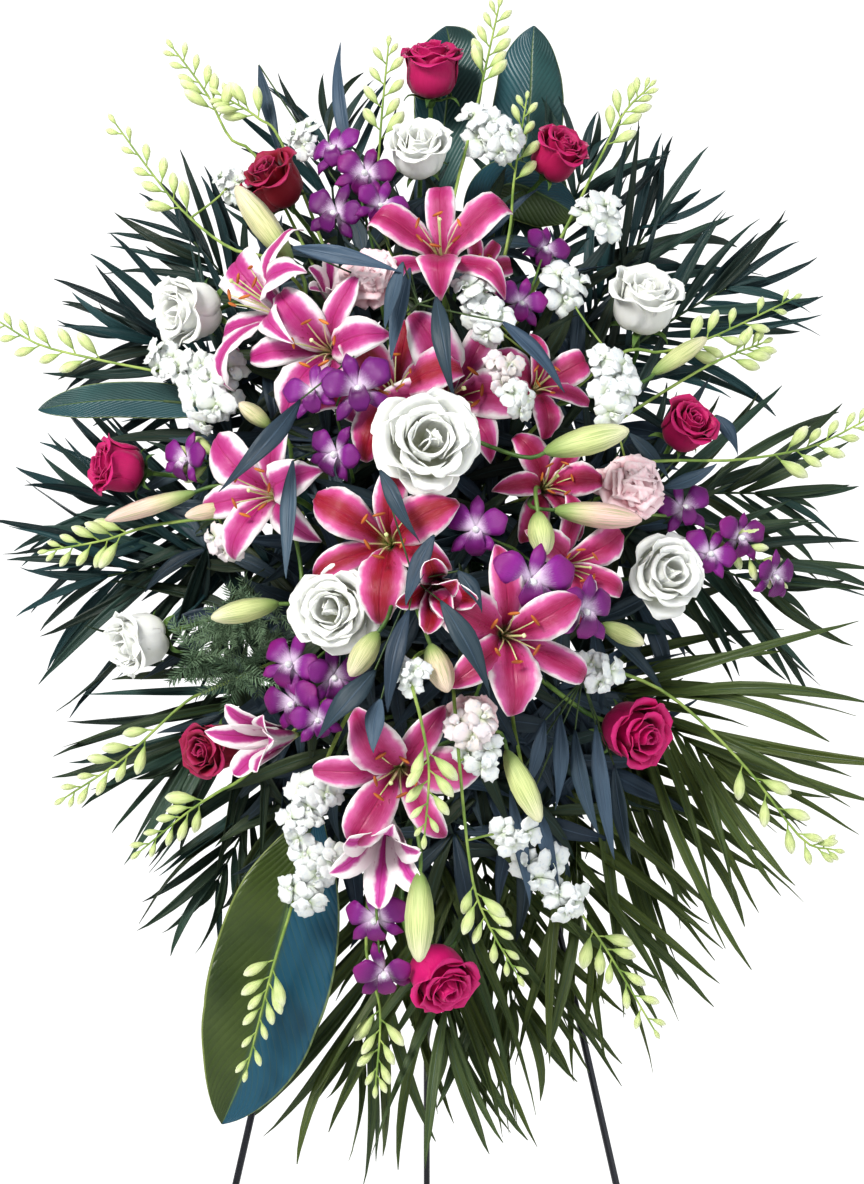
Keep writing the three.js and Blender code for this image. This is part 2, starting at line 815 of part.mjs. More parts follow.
const floretMoves = [
  [0, 0, 0, 1], [12, 0, 0, 1], [-12, 0, 0, 1], [0, 0, 12, 1], [0, 0, 24, 1], [0, 12, 8, 1], [0, -12, 8, 1],
  [16, 10, 16, 0.9], [-16, 10, 16, 0.9], [16, -10, 16, 0.9], [-16, -10, 16, 0.9], [0, 0, 36, 0.9],
  [24, 0, 30, 0.8], [-24, 0, 30, 0.8], [0, 24, 30, 0.8], [0, -24, 30, 0.8], [0, 0, 0, 0.6], [0, 0, 48, 0.7],
  [30, 30, 40, 0.8], [-30, 30, 40, 0.8], [30, -30, 40, 0.8], [-30, -30, 40, 0.8], [0, 0, 60, 0.8],
];

function addFloret(name, stem, { at, radius, turn, lift }, corners) {
  const seat = seen(at);
  const nearest = nearestShare(stem, seat);
  const roots = [-0.08, 0, -0.2, 0.12, -0.34, 0.25].map((step) => (
    alongLine(stem, THREE.MathUtils.clamp(nearest + step, 0.1, 0.97))
  ));
  const solids = floretMoves.flatMap(([side, up, out, shrink]) => roots.map((root) => () => starFloret(
    seat.clone().add(new THREE.Vector3(side * 0.6, -out, up)),
    facing(turn + side, lift + up),
    seat.x * 7,
    radius * shrink,
    corners,
    root,
  )));
  placeClear(name, solids, { piece: `${name}_${at}`, strict: true, last: true });
}

// Orchid sprays: the line of each stem from its lowest seen point to its tip, its buds, and its florets
const orchids = {
  orchid_white_top: {
    stems: [
      { line: [[24, 340, 150], [50, 450, 118], [61, 499, 106], [72, 549, 100]], buds: 5 },
      { line: [[82, 320, 140], [88, 380, 122], [100, 457, 104]], buds: 3 },
      { line: [[-46, 350, 150], [-46, 420, 120], [-38, 510, 104]], buds: 4 },
      { line: [[144, 340, 130], [166, 385, 116], [196, 444, 104], [221, 471, 100]], buds: 5 },
    ],
    florets: [
      { at: [54, 435, 132], radius: 26, turn: -10, lift: 20 },
      { at: [76, 418, 138], radius: 24, turn: 20, lift: 0 },
      { at: [172, 345, 142], radius: 26, turn: 20, lift: 20 },
    ],
  },
  orchid_white_upper_left: {
    stems: [
      { line: [[-165, 396, 84], [-196, 422, 88], [-219, 466, 94], [-250, 508, 96]], buds: 5 },
      { line: [[-140, 290, 170], [-196, 312, 150], [-239, 345, 128], [-272, 384, 112], [-308, 433, 104]], buds: 5 },
      { line: [[-142, 412, 95], [-168, 442, 97], [-202, 463, 98]], buds: 3 },
    ],
    florets: [
      { at: [-122, 425, 116], radius: 22, turn: -26, lift: 20 },
      { at: [-198, 378, 124], radius: 20, turn: -30, lift: 10 },
    ],
  },
  orchid_white_left: {
    stems: [
      { line: [[-220, 178, 150], [-276, 190, 134], [-326, 200, 120], [-386, 215, 108], [-426, 238, 102]], buds: 5 },
      { line: [[-211, 42, 160], [-276, 34, 136], [-321, 20, 120], [-374, 10, 108]], buds: 5 },
    ],
    florets: [
      { at: [-238, 188, 172], radius: 28, turn: -30, lift: 10 },
      { at: [-204, 178, 186], radius: 28, turn: 0, lift: 0 },
      { at: [-222, 150, 176], radius: 26, turn: -20, lift: -20 },
      { at: [-266, 202, 142], radius: 20, turn: -40, lift: 10 },
      { at: [-202, 20, 196], radius: 22, turn: -20, lift: -10 },
    ],
  },
  orchid_white_lower_left: {
    stems: [
      { line: [[-212, -128, 130], [-244, -145, 122], [-302, -198, 110], [-357, -235, 102]], buds: 5 },
      { line: [[-176, -212, 138], [-208, -232, 128], [-238, -252, 118], [-282, -288, 104]], buds: 4 },
      { line: [[-113, -235, 176], [-129, -326, 150], [-151, -400, 132], [-162, -441, 122], [-178, -505, 112]], buds: 6 },
      { line: [[-60, -380, 118], [-46, -450, 112], [-50, -520, 108]], buds: 3 },
    ],
    florets: [
      { at: [-113, -235, 196], radius: 26, turn: -10, lift: 10 },
      { at: [-128, -268, 184], radius: 24, turn: -20, lift: 0 },
      { at: [-108, -300, 180], radius: 26, turn: 10, lift: 0 },
      { at: [-122, -332, 168], radius: 24, turn: -10, lift: -20 },
    ],
  },
  orchid_white_centre: {
    stems: [
      { line: [[29, -150, 300], [42, -290, 256], [56, -351, 226], [89, -411, 200]], buds: 5 },
      { line: [[-16, -110, 330], [-5, -160, 322], [3, -210, 306], [-1, -270, 290]], buds: 4 },
    ],
    florets: [
      { at: [-16, -115, 340], radius: 18, turn: -10, lift: 10 },
      { at: [46, -164, 302], radius: 24, turn: 10, lift: 10 },
      { at: [54, -194, 290], radius: 22, turn: 0, lift: -10 },
      { at: [90, -272, 246], radius: 22, turn: 20, lift: -10 },
    ],
  },
  orchid_white_lower_right: {
    stems: [
      { line: [[124, -304, 170], [155, -353, 150], [182, -392, 134], [226, -466, 116]], buds: 5 },
      { line: [[171, -105, 226], [243, -135, 180], [317, -204, 140], [375, -278, 116], [404, -289, 110]], buds: 6 },
    ],
    florets: [
      { at: [114, -305, 200], radius: 27, turn: 10, lift: -10 },
      { at: [140, -340, 182], radius: 24, turn: 20, lift: -20 },
      { at: [174, -112, 240], radius: 22, turn: 20, lift: 0 },
    ],
  },
  orchid_white_right: {
    stems: [
      { line: [[214, 97, 190], [309, 100, 150], [384, 113, 122], [438, 139, 108]], buds: 5 },
      { line: [[190, 204, 186], [236, 208, 168], [284, 222, 146], [364, 260, 112]], buds: 5 },
      { line: [[274, 190, 156], [334, 216, 122]], buds: 3 },
    ],
    florets: [
      { at: [48, 262, 240], radius: 26, turn: 0, lift: 20 },
      { at: [66, 236, 252], radius: 24, turn: 10, lift: 0 },
      { at: [142, 275, 166], radius: 27, turn: 20, lift: 20 },
      { at: [186, 192, 262], radius: 26, turn: 20, lift: 10 },
      { at: [190, 158, 262], radius: 25, turn: 20, lift: -10 },
      { at: [76, 188, 262], radius: 20, turn: 10, lift: 0 },
      { at: [92, 160, 268], radius: 20, turn: 20, lift: -10 },
    ],
  },
  orchid_purple_top: {
    stems: [
      { line: [[-60, 340, 170], [-70, 380, 150], [-92, 412, 130]], buds: 0 },
      { line: [[95, 250, 190], [118, 308, 160]], buds: 0 },
    ],
    florets: [
      { at: [-91, 410, 138], radius: 30, turn: -20, lift: 20 },
      { at: [-61, 386, 160], radius: 31, turn: 0, lift: 10 },
      { at: [-91, 346, 176], radius: 31, turn: -20, lift: 0 },
      { at: [-46, 354, 196], radius: 26, turn: 10, lift: 0 },
      { at: [118, 310, 158], radius: 26, turn: 30, lift: 10 },
      { at: [95, 256, 192], radius: 27, turn: 10, lift: 0 },
    ],
  },
  orchid_purple_left: {
    stems: [
      { line: [[-80, 110, 230], [-90, 150, 244], [-80, 172, 262]], buds: 0 },
      { line: [[-180, 96, 170], [-238, 100, 140]], buds: 1 },
    ],
    florets: [
      { at: [-68, 170, 284], radius: 34, turn: -5, lift: 5 },
      { at: [-113, 168, 270], radius: 30, turn: -25, lift: 5 },
      { at: [-91, 106, 268], radius: 29, turn: -30, lift: -10 },
      { at: [-241, 100, 150], radius: 28, turn: -40, lift: 0 },
    ],
  },
  orchid_purple_right: {
    stems: [
      { line: [[90, 10, 250], [150, -40, 270]], buds: 0 },
      { line: [[200, 44, 180], [262, 40, 150], [312, 14, 132], [350, -18, 120]], buds: 3 },
    ],
    florets: [
      { at: [50, 30, 290], radius: 31, turn: 0, lift: 0 },
      { at: [106, -22, 306], radius: 37, turn: 5, lift: 0 },
      { at: [158, -52, 284], radius: 33, turn: 20, lift: -5 },
      { at: [258, 52, 160], radius: 27, turn: 20, lift: 16 },
      { at: [284, 6, 152], radius: 27, turn: 10, lift: 0 },
      { at: [314, 22, 142], radius: 27, turn: 30, lift: 5 },
      { at: [348, -17, 130], radius: 27, turn: 35, lift: -5 },
    ],
  },
  orchid_purple_low: {
    stems: [
      { line: [[-120, -110, 190], [-136, -140, 190]], buds: 0 },
      { line: [[-50, -340, 180], [-46, -400, 150]], buds: 0 },
    ],
    florets: [
      { at: [-136, -105, 206], radius: 32, turn: -20, lift: 5 },
      { at: [-133, -144, 202], radius: 30, turn: -25, lift: -5 },
      { at: [-92, -118, 222], radius: 29, turn: 5, lift: 0 },
      { at: [-108, -160, 216], radius: 26, turn: 0, lift: -10 },
      { at: [-51, -360, 172], radius: 30, turn: -10, lift: -10 },
      { at: [-42, -414, 150], radius: 30, turn: 0, lift: -20 },
    ],
  },
};

// One side of a stem: plain, or with a leaflet, bud or spike growing out of it
function growSide(skin, quad, limb) {
  if (!limb) {
    skin.faces.push([quad[0], quad[1], quad[2]], [quad[0], quad[2], quad[3]]);
  } else if (limb.ring) {
    const ring = skin.ring(limb.ring);
    skin.bridge(quad, ring);
    skin.fan(ring, limb.tip);
  } else {
    skin.fan(quad, limb.tip);
  }
}

// A leaflet or bud that stands on a quad: its widest ring and its tip
function limbOn(quad, way, length, half, thick) {
  const root = new THREE.Vector3();
  quad.forEach((point) => root.addScaledVector(point, 0.25));
  const middle = root.clone().addScaledVector(way, length * 0.45);
  const tip = root.clone().addScaledVector(way, length).add(new THREE.Vector3(0, 0, -length * 0.1));
  const far = quad[2].clone().add(quad[3]).sub(quad[0]).sub(quad[1]).normalize();
  const width = far.addScaledVector(way, -far.dot(way)).normalize();
  const normal = quad[0].clone().sub(quad[1]).normalize();
  normal.addScaledVector(way, -normal.dot(way)).addScaledVector(width, -normal.dot(width)).normalize();
  const ring = [[-1, 1], [-1, -1], [1, -1], [1, 1]].map(([across, through]) => middle.clone()
    .addScaledVector(width, across * half)
    .addScaledVector(normal, (through * thick) / 2));
  return { ring, tip };
}

const orchidStemRadii = [2.4, 1];
const budShares = [0.56, 0.95];
const budLength = 22;
const budRadius = 5;
const budWays = [[1, 1], [1, 1.6], [1.8, 0.8], [1, 0.5], [1.4, 1.2]];

// The bud that grows out of a stem's side at a quad, if there is room for it
function budOn(name, skin, quad, centre, along, size) {
  const corners = quad.map((index) => skin.points[index]);
  const out = corners.reduce((sum, corner) => sum.addScaledVector(corner, 0.25), new THREE.Vector3());
  out.sub(centre).normalize();
  for (const [ahead, aside] of budWays) {
    const way = along.clone().multiplyScalar(ahead).addScaledVector(out, aside).normalize();
    const half = budRadius * size;
    const bud = limbOn(corners, way, budLength * size * random(0.9, 1.1), half, half * 1.8);
    if (isClear(loft([corners, bud.ring], bud.tip), (other) => other.name === name)) {
      return bud;
    }
  }
  return null;
}

// A three-sided stem whose last part bears buds to alternate sides, and one at its tip
function growOrchidStem(name, stem, buds) {
  const bare = buds ? budShares[0] - 0.03 : 2;
  const shares = stem.map((_, i) => i / (stem.length - 1)).filter((share) => share < bare);
  for (let k = buds - 1; k >= 0; k -= 1) {
    shares.push(THREE.MathUtils.lerp(budShares[1], budShares[0], k / Math.max(buds - 1, 1)));
  }
  const all = frames(shares.map((share) => alongLine(stem, share)), new THREE.Vector3(0, -1, 0));
  const skin = new Skin();
  const rows = all.map(({ point, side, top }, i) => skin.ring([0, 1, 2].map((k) => {
    const angle = (2 * Math.PI * k) / 3;
    const radius = THREE.MathUtils.lerp(...orchidStemRadii, shares[i]);
    return point.clone()
      .addScaledVector(side, Math.cos(angle) * radius)
      .addScaledVector(top, Math.sin(angle) * radius);
  })));
  skin.cap(rows[0]);
  for (let i = 1; i < rows.length; i += 1) {
    const low = rows[i - 1];
    const high = rows[i];
    const quads = [0, 1, 2].map((j) => [low[j], low[(j + 1) % 3], high[(j + 1) % 3], high[j]]);
    const centre = all[i - 1].point.clone().lerp(all[i].point, 0.5);
    const wanted = all[i].along.clone().cross(new THREE.Vector3(0, i % 2 ? 1 : -1, 0));
    const towards = (index) => skin.points[index].clone().sub(centre).dot(wanted);
    const faced = quads.map((quad) => quad.reduce((sum, index) => sum + towards(index), 0));
    const bearing = i > rows.length - buds ? faced.indexOf(Math.max(...faced)) : -1;
    const size = THREE.MathUtils.lerp(1, 0.7, i / rows.length);
    quads.forEach((quad, j) => {
      growSide(skin, quad, j === bearing ? budOn(name, skin, quad, centre, all[i].along, size) : null);
    });
  }
  const last = rows[rows.length - 1];
  if (buds) {
    const start = all[all.length - 1].point;
    const end = start.clone().lerp(stem[stem.length - 1], 1.2);
    const belt = last.map((index) => skin.points[index].clone().sub(start)
      .setLength(budRadius * 0.8)
      .add(start.clone().lerp(end, 0.5)));
    const ring = skin.ring(belt);
    skin.bridge(last, ring);
    skin.fan(ring, end);
  } else {
    skin.cap([...last].reverse());
  }
  place(name, name, skin.solid());
  return all.map(({ point }) => point);
}

// The line of an orchid stem, bent clear of the flowers between its root and its lowest seen point
function addOrchidStem(name, root, { line, buds }) {
  const seenPoints = line.map(seen);
  const start = root[root.length - 1];
  const routes = bends.map((bend) => {
    const [, middle] = bentLine(start, seenPoints[0], bend);
    const low = seenPoints[0].clone().addScaledVector(bend.offset, 0.4);
    const curve = new THREE.CatmullRomCurve3([start, middle, low, ...seenPoints.slice(1)]);
    return [...root.slice(0, -1), ...curve.getSpacedPoints(line.length + 1)];
  });
  const skip = (other) => other.name === name;
  const stem = routes.find((route) => isClear(tube(route, orchidStemRadii[0], 3), skip)) ?? routes[0];
  return growOrchidStem(name, stem, buds);
}

// Carnations: ruffled layers round a middle
const carnations = {
  carnation_upper: [{ at: [-56, 281, 232], turn: -8, lift: 14, size: 56 }],
  carnation_right: [
    { at: [205, 73, 192], turn: 20, lift: 6, size: 60 },
    { at: [44, -162, 262], turn: 4, lift: 4, size: 46 },
  ],
};

const ruffleRows = [[0.12, 0, 0], [0.46, 0.32, 1], [0.32, 0.4, 0], [0.42, 0.6, 1], [0.16, 0.6, 0]];

function makeCarnation(name, piece, { at, turn, lift, size }) {
  const sides = 8;
  const head = makeHead(seen(at), facing(turn, lift), 0, size * 0.4);
  const skin = new Skin();
  const rows = ruffleRows.map(([radius, height, ruffled], row) => skin.ring(
    Array.from({ length: sides }, (_, k) => {
      const wave = ruffled * ((k + row) % 2 ? 1 : -1);
      const angle = (2 * Math.PI * (k + 0.5)) / sides;
      return headPoint(head, radius * size * (1 + 0.1 * wave), angle, (height + 0.05 * wave) * size);
    }),
  ));
  for (let i = 1; i < rows.length; i += 1) {
    skin.bridge(rows[i - 1], rows[i]);
  }
  skin.fan(rows[rows.length - 1], headPoint(head, 0, 0, 0.72 * size));
  const grown = { name, piece, head, size, flower: { sides, foot: -0.1 * size }, skin, foot: rows[0] };
  placed.push(withFoot(grown));
  return grown;
}

// Grey willow-like leaves: from the leaf's root to its tip
const willows = {
  willow_stem_upper: {
    to: [-8, 256, 262],
    leaves: [
      { line: [[-133, 313, 262], [-78, 322, 280], [-23, 298, 290]], half: 9 },
      { line: [[-23, 298, 282], [-34, 265, 292], [-51, 232, 296]], half: 8 },
      { line: [[-16, 292, 270], [-30, 250, 282], [-46, 203, 284]], half: 8 },
      { line: [[10, 263, 276], [26, 215, 288], [37, 160, 290]], half: 10 },
      { line: [[77, 238, 268], [106, 206, 282], [132, 166, 286]], half: 9 },
      { line: [[-126, 160, 292], [-164, 116, 306], [-199, 63, 298]], half: 10 },
      { line: [[-133, 99, 272], [-140, 42, 288], [-151, -19, 276]], half: 9 },
      { line: [[-167, 495, 62], [-152, 450, 76], [-140, 404, 84]], half: 7 },
      { line: [[-76, 395, 100], [-74, 450, 92], [-81, 521, 84]], half: 8 },
    ],
  },
  willow_stem_centre: {
    to: [-12, -20, 318],
    leaves: [
      { line: [[-46, 90, 330], [-26, 62, 344], [-1, 22, 334]], half: 8 },
      { line: [[8, 25, 338], [-16, 0, 350], [-32, -40, 346]], half: 9 },
      { line: [[15, -41, 344], [42, -80, 352], [76, -129, 344]], half: 11 },
      { line: [[-17, -50, 340], [-36, -96, 350], [-48, -149, 340]], half: 9 },
      { line: [[-51, -110, 318], [-76, -142, 324], [-101, -185, 312]], half: 12 },
      { line: [[-45, -139, 316], [-56, -164, 318], [-66, -187, 310]], half: 10 },
      { line: [[32, -11, 334], [48, -28, 344], [64, -47, 340]], half: 8 },
    ],
  },
  willow_stem_right: {
    to: [156, -120, 216],
    leaves: [
      { line: [[203, 127, 176], [228, 106, 186], [250, 84, 180]], half: 7 },
      { line: [[236, 72, 178], [264, 82, 184], [294, 86, 178]], half: 8 },
      { line: [[290, 145, 130], [306, 128, 138], [319, 110, 132]], half: 8 },
      { line: [[119, -160, 236], [112, -205, 240], [104, -240, 228]], half: 7 },
      { line: [[134, -155, 220], [140, -205, 226], [139, -250, 214]], half: 8 },
      { line: [[149, -170, 208], [158, -225, 212], [164, -275, 200]], half: 8 },
      { line: [[170, -165, 196], [178, -230, 200], [180, -300, 186]], half: 8 },
      { line: [[104, -240, 206], [124, -285, 208], [140, -325, 194]], half: 8 },
      { line: [[188, -205, 180], [192, -255, 182], [194, -305, 172]], half: 8 },
      { line: [[84, -230, 214], [96, -290, 214], [112, -345, 200]], half: 7 },
    ],
  },
};

function willowStem(name, to) {
  const hub = frontHub(name, 2.4);
  const start = [hub.inner, ...clearStem(name, hub.outer, seen(to), 2)];
  place(name, name, tube(start, start.map((_, i) => 2.4 - 0.4 * i), 4));
  return start;
}

function addWillowLeaf(name, root, { line, half }) {
  const points = line.map(seen);
  const isStem = (other) => other.name === name && other.piece === name;
  const outward = new THREE.Vector3(0, -1, 0);
  for (const lift of [0, 10, -10, 20, -20, 32, -32]) {
    const raised = points.map((point) => point.clone().addScaledVector(outward, lift));
    const blade = leaf(raised, [1.6, half], 1.8, outward, 0.15);
    const free = isClear(blade, isStem) ? bends.slice(0, 73) : [];
    for (const bend of free) {
      const way = bend === bends[0] ? [root] : bentLine(root, raised[0], bend).slice(0, 2);
      const halves = [1.4, 1.3].slice(0, way.length);
      const solid = leaf([...way, ...raised], [...halves, 1.6, half], 1.8, outward, 0.15);
      if (isClear(solid, isStem)) {
        place(name, `${name}_leaf`, solid);
        return;
      }
    }
  }
}

// The leaves of a stem, rooted in the order in which they lie along it
function addWillowLeaves(name, main, leaves) {
  const share = ({ line }) => nearestShare(main, seen(line[0]));
  const sorted = [...leaves].sort((a, b) => share(a) - share(b));
  sorted.forEach((entry, k) => {
    addWillowLeaf(name, alongLine(main, THREE.MathUtils.lerp(0.5, 0.98, k / (leaves.length - 1))), entry);
  });
}

// Large leaves: the line of the midrib and the half width at each place on it
const broadLeaves = {
  leaf_top_left: {
    side: 'top',
    along: -10,
    out: 60,
    line: [[2, 300, 52], [14, 400, 36], [22, 470, 32], [24, 512, 34], [20, 534, 40]],
    halves: [4, 26, 36, 30],
    cup: 0.25,
  },
  leaf_top_right: {
    side: 'top',
    along: 12,
    out: 28,
    line: [[70, 300, 34], [96, 400, 20], [104, 460, 14], [106, 505, 14], [108, 534, 18]],
    halves: [5, 34, 38, 26],
    cup: -0.5,
  },
  leaf_top_folded: {
    side: 'top',
    along: 34,
    out: 60,
    line: [[60, 290, 62], [56, 350, 66], [84, 376, 62], [126, 360, 54], [152, 342, 48]],
    halves: [5, 20, 34, 28],
    cup: -0.4,
  },
  leaf_left_strap: {
    side: 'left',
    along: 60,
    out: 60,
    line: [[-190, 150, 104], [-250, 158, 100], [-310, 160, 96], [-356, 156, 92], [-388, 150, 90]],
    halves: [4, 17, 18, 14],
    cup: 0.2,
  },
  leaf_lower_left: {
    side: 'bottom',
    along: -34,
    out: 60,
    line: [[-110, -250, 108], [-134, -330, 104], [-156, -420, 92], [-178, -500, 76], [-204, -564, 62]],
    halves: [6, 48, 60, 44],
    cup: 0.18,
  },
};

function makeBroadLeaf(name, { side, along, out, line, halves, cup }) {
  const hub = edgeHub(side, along, out, 4);
  const points = line.map(seen);
  const tries = bends.map((bend) => () => {
    const [, middle] = bentLine(hub.outer, points[0], bend);
    const route = [hub.inner, hub.outer, middle, ...points];
    return leaf(route, [3.4, 3.4, 3, ...halves], 3, new THREE.Vector3(0, -1, 0), cup);
  });
  placeClear(name, tries, { last: true });
}

// Palm fronds: where each rachis ends, its arch, its pairs of leaflets and how far they reach
const palms = {
  palm_upper_right: {
    side: 'right',
    along: 92,
    out: 24,
    fronds: [
      { tip: [158, 392, 20], arch: 6, pairs: 6, reach: 86, start: 0.45 },
      { tip: [228, 336, 26], arch: 12, pairs: 6, reach: 98, start: 0.4 },
      { tip: [300, 272, 52], arch: 16, pairs: 6, reach: 98, start: 0.45 },
    ],
  },
  palm_right: {
    side: 'right',
    along: 26,
    out: 24,
    fronds: [
      { tip: [344, 66, 24], arch: 14, pairs: 6, reach: 104, start: 0.45 },
      { tip: [340, -26, 56], arch: 12, pairs: 6, reach: 108, start: 0.45 },
    ],
  },
  palm_lower_right: {
    side: 'right',
    along: -90,
    out: 34,
    fronds: [
      { tip: [282, -196, 78], arch: 14, pairs: 6, reach: 156, start: 0.45 },
      { tip: [214, -236, 26], arch: 8, pairs: 6, reach: 160, start: 0.4 },
      { tip: [168, -372, 52], arch: 6, pairs: 6, reach: 136, start: 0.45 },
    ],
  },
  palm_bottom: {
    side: 'bottom',
    along: 20,
    out: 26,
    fronds: [
      { tip: [86, -440, 30], arch: 2, pairs: 6, reach: 124, start: 0.45 },
      { tip: [20, -468, 56], arch: 0, pairs: 6, reach: 146, start: 0.4 },
      { tip: [-66, -476, 22], arch: -2, pairs: 6, reach: 136, start: 0.45 },
    ],
  },
  palm_lower_left: {
    side: 'left',
    along: -80,
    out: 24,
    fronds: [
      { tip: [-238, -192, 52], arch: 8, pairs: 6, reach: 122, start: 0.4 },
      { tip: [-208, -320, 24], arch: 4, pairs: 6, reach: 96, start: 0.4 },
    ],
  },
  palm_left: {
    side: 'left',
    along: -26,
    out: 30,
    fronds: [
      { tip: [-318, -16, 56], arch: 14, pairs: 6, reach: 116, start: 0.4 },
      { tip: [-316, 56, 28], arch: 16, pairs: 6, reach: 108, start: 0.45 },
    ],
  },
  palm_upper_left: {
    side: 'left',
    along: 90,
    out: 24,
    fronds: [
      { tip: [-288, 226, 54], arch: 18, pairs: 6, reach: 98, start: 0.4 },
      { tip: [-232, 318, 26], arch: 14, pairs: 6, reach: 92, start: 0.4 },
      { tip: [-98, 426, 22], arch: 4, pairs: 6, reach: 92, start: 0.45 },
    ],
  },
};

// How far a leaflet is turned, in degrees, brought forward, in millimetres, and shrunk, until it has room
const leafletTries = [
  [0, 0, 1], [0, 6, 1], [0, -6, 1], [8, 0, 0.95], [-8, 0, 0.95], [0, 12, 0.9],
  [0, -12, 0.9], [14, 8, 0.8], [-14, -8, 0.8], [0, 0, 0.6], [0, 8, 0.45], [0, -8, 0.45],
];

// A frond: a four-sided rachis with leaflets growing out of both its sides
function growFrond(name, hub, { tip, arch, pairs, reach, start }, half = 6.5, thick = 1, stem = 2.6) {
  const end = seen(tip);
  const arches = [0, 10, -10, 20, -20, 32, -32];
  const skip = (other) => other.name === name;
  let curve = null;
  for (const out of arches) {
    const middle = hub.outer.clone().lerp(end, 0.5).add(new THREE.Vector3(0, -out, 2 * arch));
    const tried = new THREE.QuadraticBezierCurve3(hub.outer, middle, end);
    curve = curve ?? tried;
    if (isClear(tube(tried.getSpacedPoints(4), stem, 4), skip)) {
      curve = tried;
      break;
    }
  }
  const places = [0, start * 0.5];
  for (let i = 0; i <= pairs; i += 1) {
    places.push(THREE.MathUtils.lerp(start, 1, i / pairs));
  }
  const points = places.map((t) => curve.getPointAt(t));
  const all = frames(points, new THREE.Vector3(0, -1, 0));
  const skin = new Skin();
  const rows = all.map(({ point, side, top }, i) => {
    const thin = THREE.MathUtils.lerp(1, 0.45, i / (all.length - 1));
    const corners = [[-1, 1], [1, 1], [1, -1], [-1, -1]].map(([across, front]) => point.clone()
      .addScaledVector(side, across * stem * thin)
      .addScaledVector(top, front * stem * 0.7 * thin));
    return skin.ring(corners);
  });
  const findLeaflet = (quad, sign, { along, side }, share) => {
    const corners = quad.map((index) => skin.points[index]);
    const swell = Math.sin(Math.PI * (0.25 + 0.6 * share));
    for (const [turn, out, shrink] of leafletTries) {
      const angle = radians(THREE.MathUtils.lerp(58, 24, share) + turn + random(-3, 3));
      const way = along.clone().multiplyScalar(Math.cos(angle)).addScaledVector(side, sign * Math.sin(angle));
      const length = reach * swell * shrink * random(0.92, 1.06);
      way.add(new THREE.Vector3(0, -out / length, -0.06)).normalize();
      const leaflet = limbOn(corners, way, length, half, thick);
      if (isClear(loft([corners, leaflet.ring], leaflet.tip), skip)) {
        return leaflet;
      }
    }
    return null;
  };
  skin.cap(rows[0]);
  for (let i = 1; i < rows.length; i += 1) {
    const low = rows[i - 1];
    const high = rows[i];
    const share = (i - 3) / pairs;
    for (let j = 0; j < 4; j += 1) {
      const next = (j + 1) % 4;
      const quad = [low[j], low[next], high[next], high[j]];
      const isSide = j % 2 === 1;
      const leaflet = i >= 3 && isSide ? findLeaflet(quad, j === 1 ? 1 : -1, all[i], share) : null;
      const isSpike = leaflet && i > rows.length - 3;
      growSide(skin, quad, isSpike ? { tip: leaflet.tip } : leaflet);
    }
  }
  const last = rows[rows.length - 1];
  skin.fan(last, end.clone().addScaledVector(all[all.length - 1].along, reach * 0.5));
  place(name, name, skin.solid());
}

// Fine fern: small fronds of the same make
const fern = {
  name: 'fern_tuft',
  fronds: [
    { tip: [-236, -100, 150], arch: 4, pairs: 5, reach: 34, start: 0.7 },
    { tip: [-200, -66, 168], arch: 4, pairs: 5, reach: 34, start: 0.7 },
  ],
};

// Flower heads first, since everything else is bent clear of them
const roseHeads = Object.entries(roses).map(([name, rose]) => ({ name, rose, grown: makeRose(name, rose) }));
const carnationHeads = Object.entries(carnations).map(([name, list]) => ({
  name,
  list,
  heads: list.map((flower, k) => makeCarnation(name, `${name}_${k}`, flower)),
}));
const lilyHeads = Object.entries(lilies).map(([name, stem]) => {
  const heads = makeLilyHeads(name, stem);
  return { name, stem, heads };
});

pairHoles(Object.fromEntries([
  ...roseHeads.filter(({ rose }) => !rose.hole).map(({ name, rose }) => [name, rose.at]),
  ...lilyHeads.map(({ name, stem }) => [name, stem.open[0].at]),
  ...carnationHeads.map(({ name, list }) => [name, list[0].at]),
  ...Object.entries(orchids).map(([name, { stems }]) => [name, stems[0].line[0]]),
  ...Object.entries(willows).map(([name, { to }]) => [name, to]),
  [fern.name, fern.fronds[0].tip],
]));
frontHoles.filter(({ name }) => name).forEach(keepRoom);

function makeStems() {
  roseHeads.forEach(({ name, rose, grown }) => {
    const hub = rose.hole ? edgeHub(...rose.hole, 3) : frontHub(name, 3);
    const seat = headPoint(grown.head, 0, 0, -rose.size * 0.1);
    growStem(grown, [hub.inner, ...clearStem(name, hub.outer, seat, 2.8)], 2.8);
  });
  lilyHeads.forEach(({ name, stem, heads }) => {
    const hub = frontHub(name, 4);
    let main = null;
    heads.forEach((grown) => {
      const seat = headPoint(grown.head, 0, 0, -grown.size * 0.14);
      if (main) {
        growStem(grown, clearStem(name, alongLine(main, 0.42), seat, 2.4), 2.4);
      } else {
        main = [hub.inner, ...clearStem(name, hub.outer, seat, 3.6)];
        growStem(grown, main, 3.6);
      }
    });
    stem.buds.forEach((bud) => addBud(name, main, bud));
  });
  carnationHeads.forEach(({ name, list, heads }) => {
    const hub = frontHub(name, 2.4);
    let main = null;
    heads.forEach((grown) => {
      const seat = headPoint(grown.head, 0, 0, -grown.size * 0.08);
      const route = clearStem(name, main ? alongLine(main, 0.4) : hub.outer, seat, 2.4);
      const whole = main ? route : [hub.inner, ...route];
      growStem(grown, whole, main ? 1.8 : 2.4);
      main = main ?? whole;
    });
  });
}

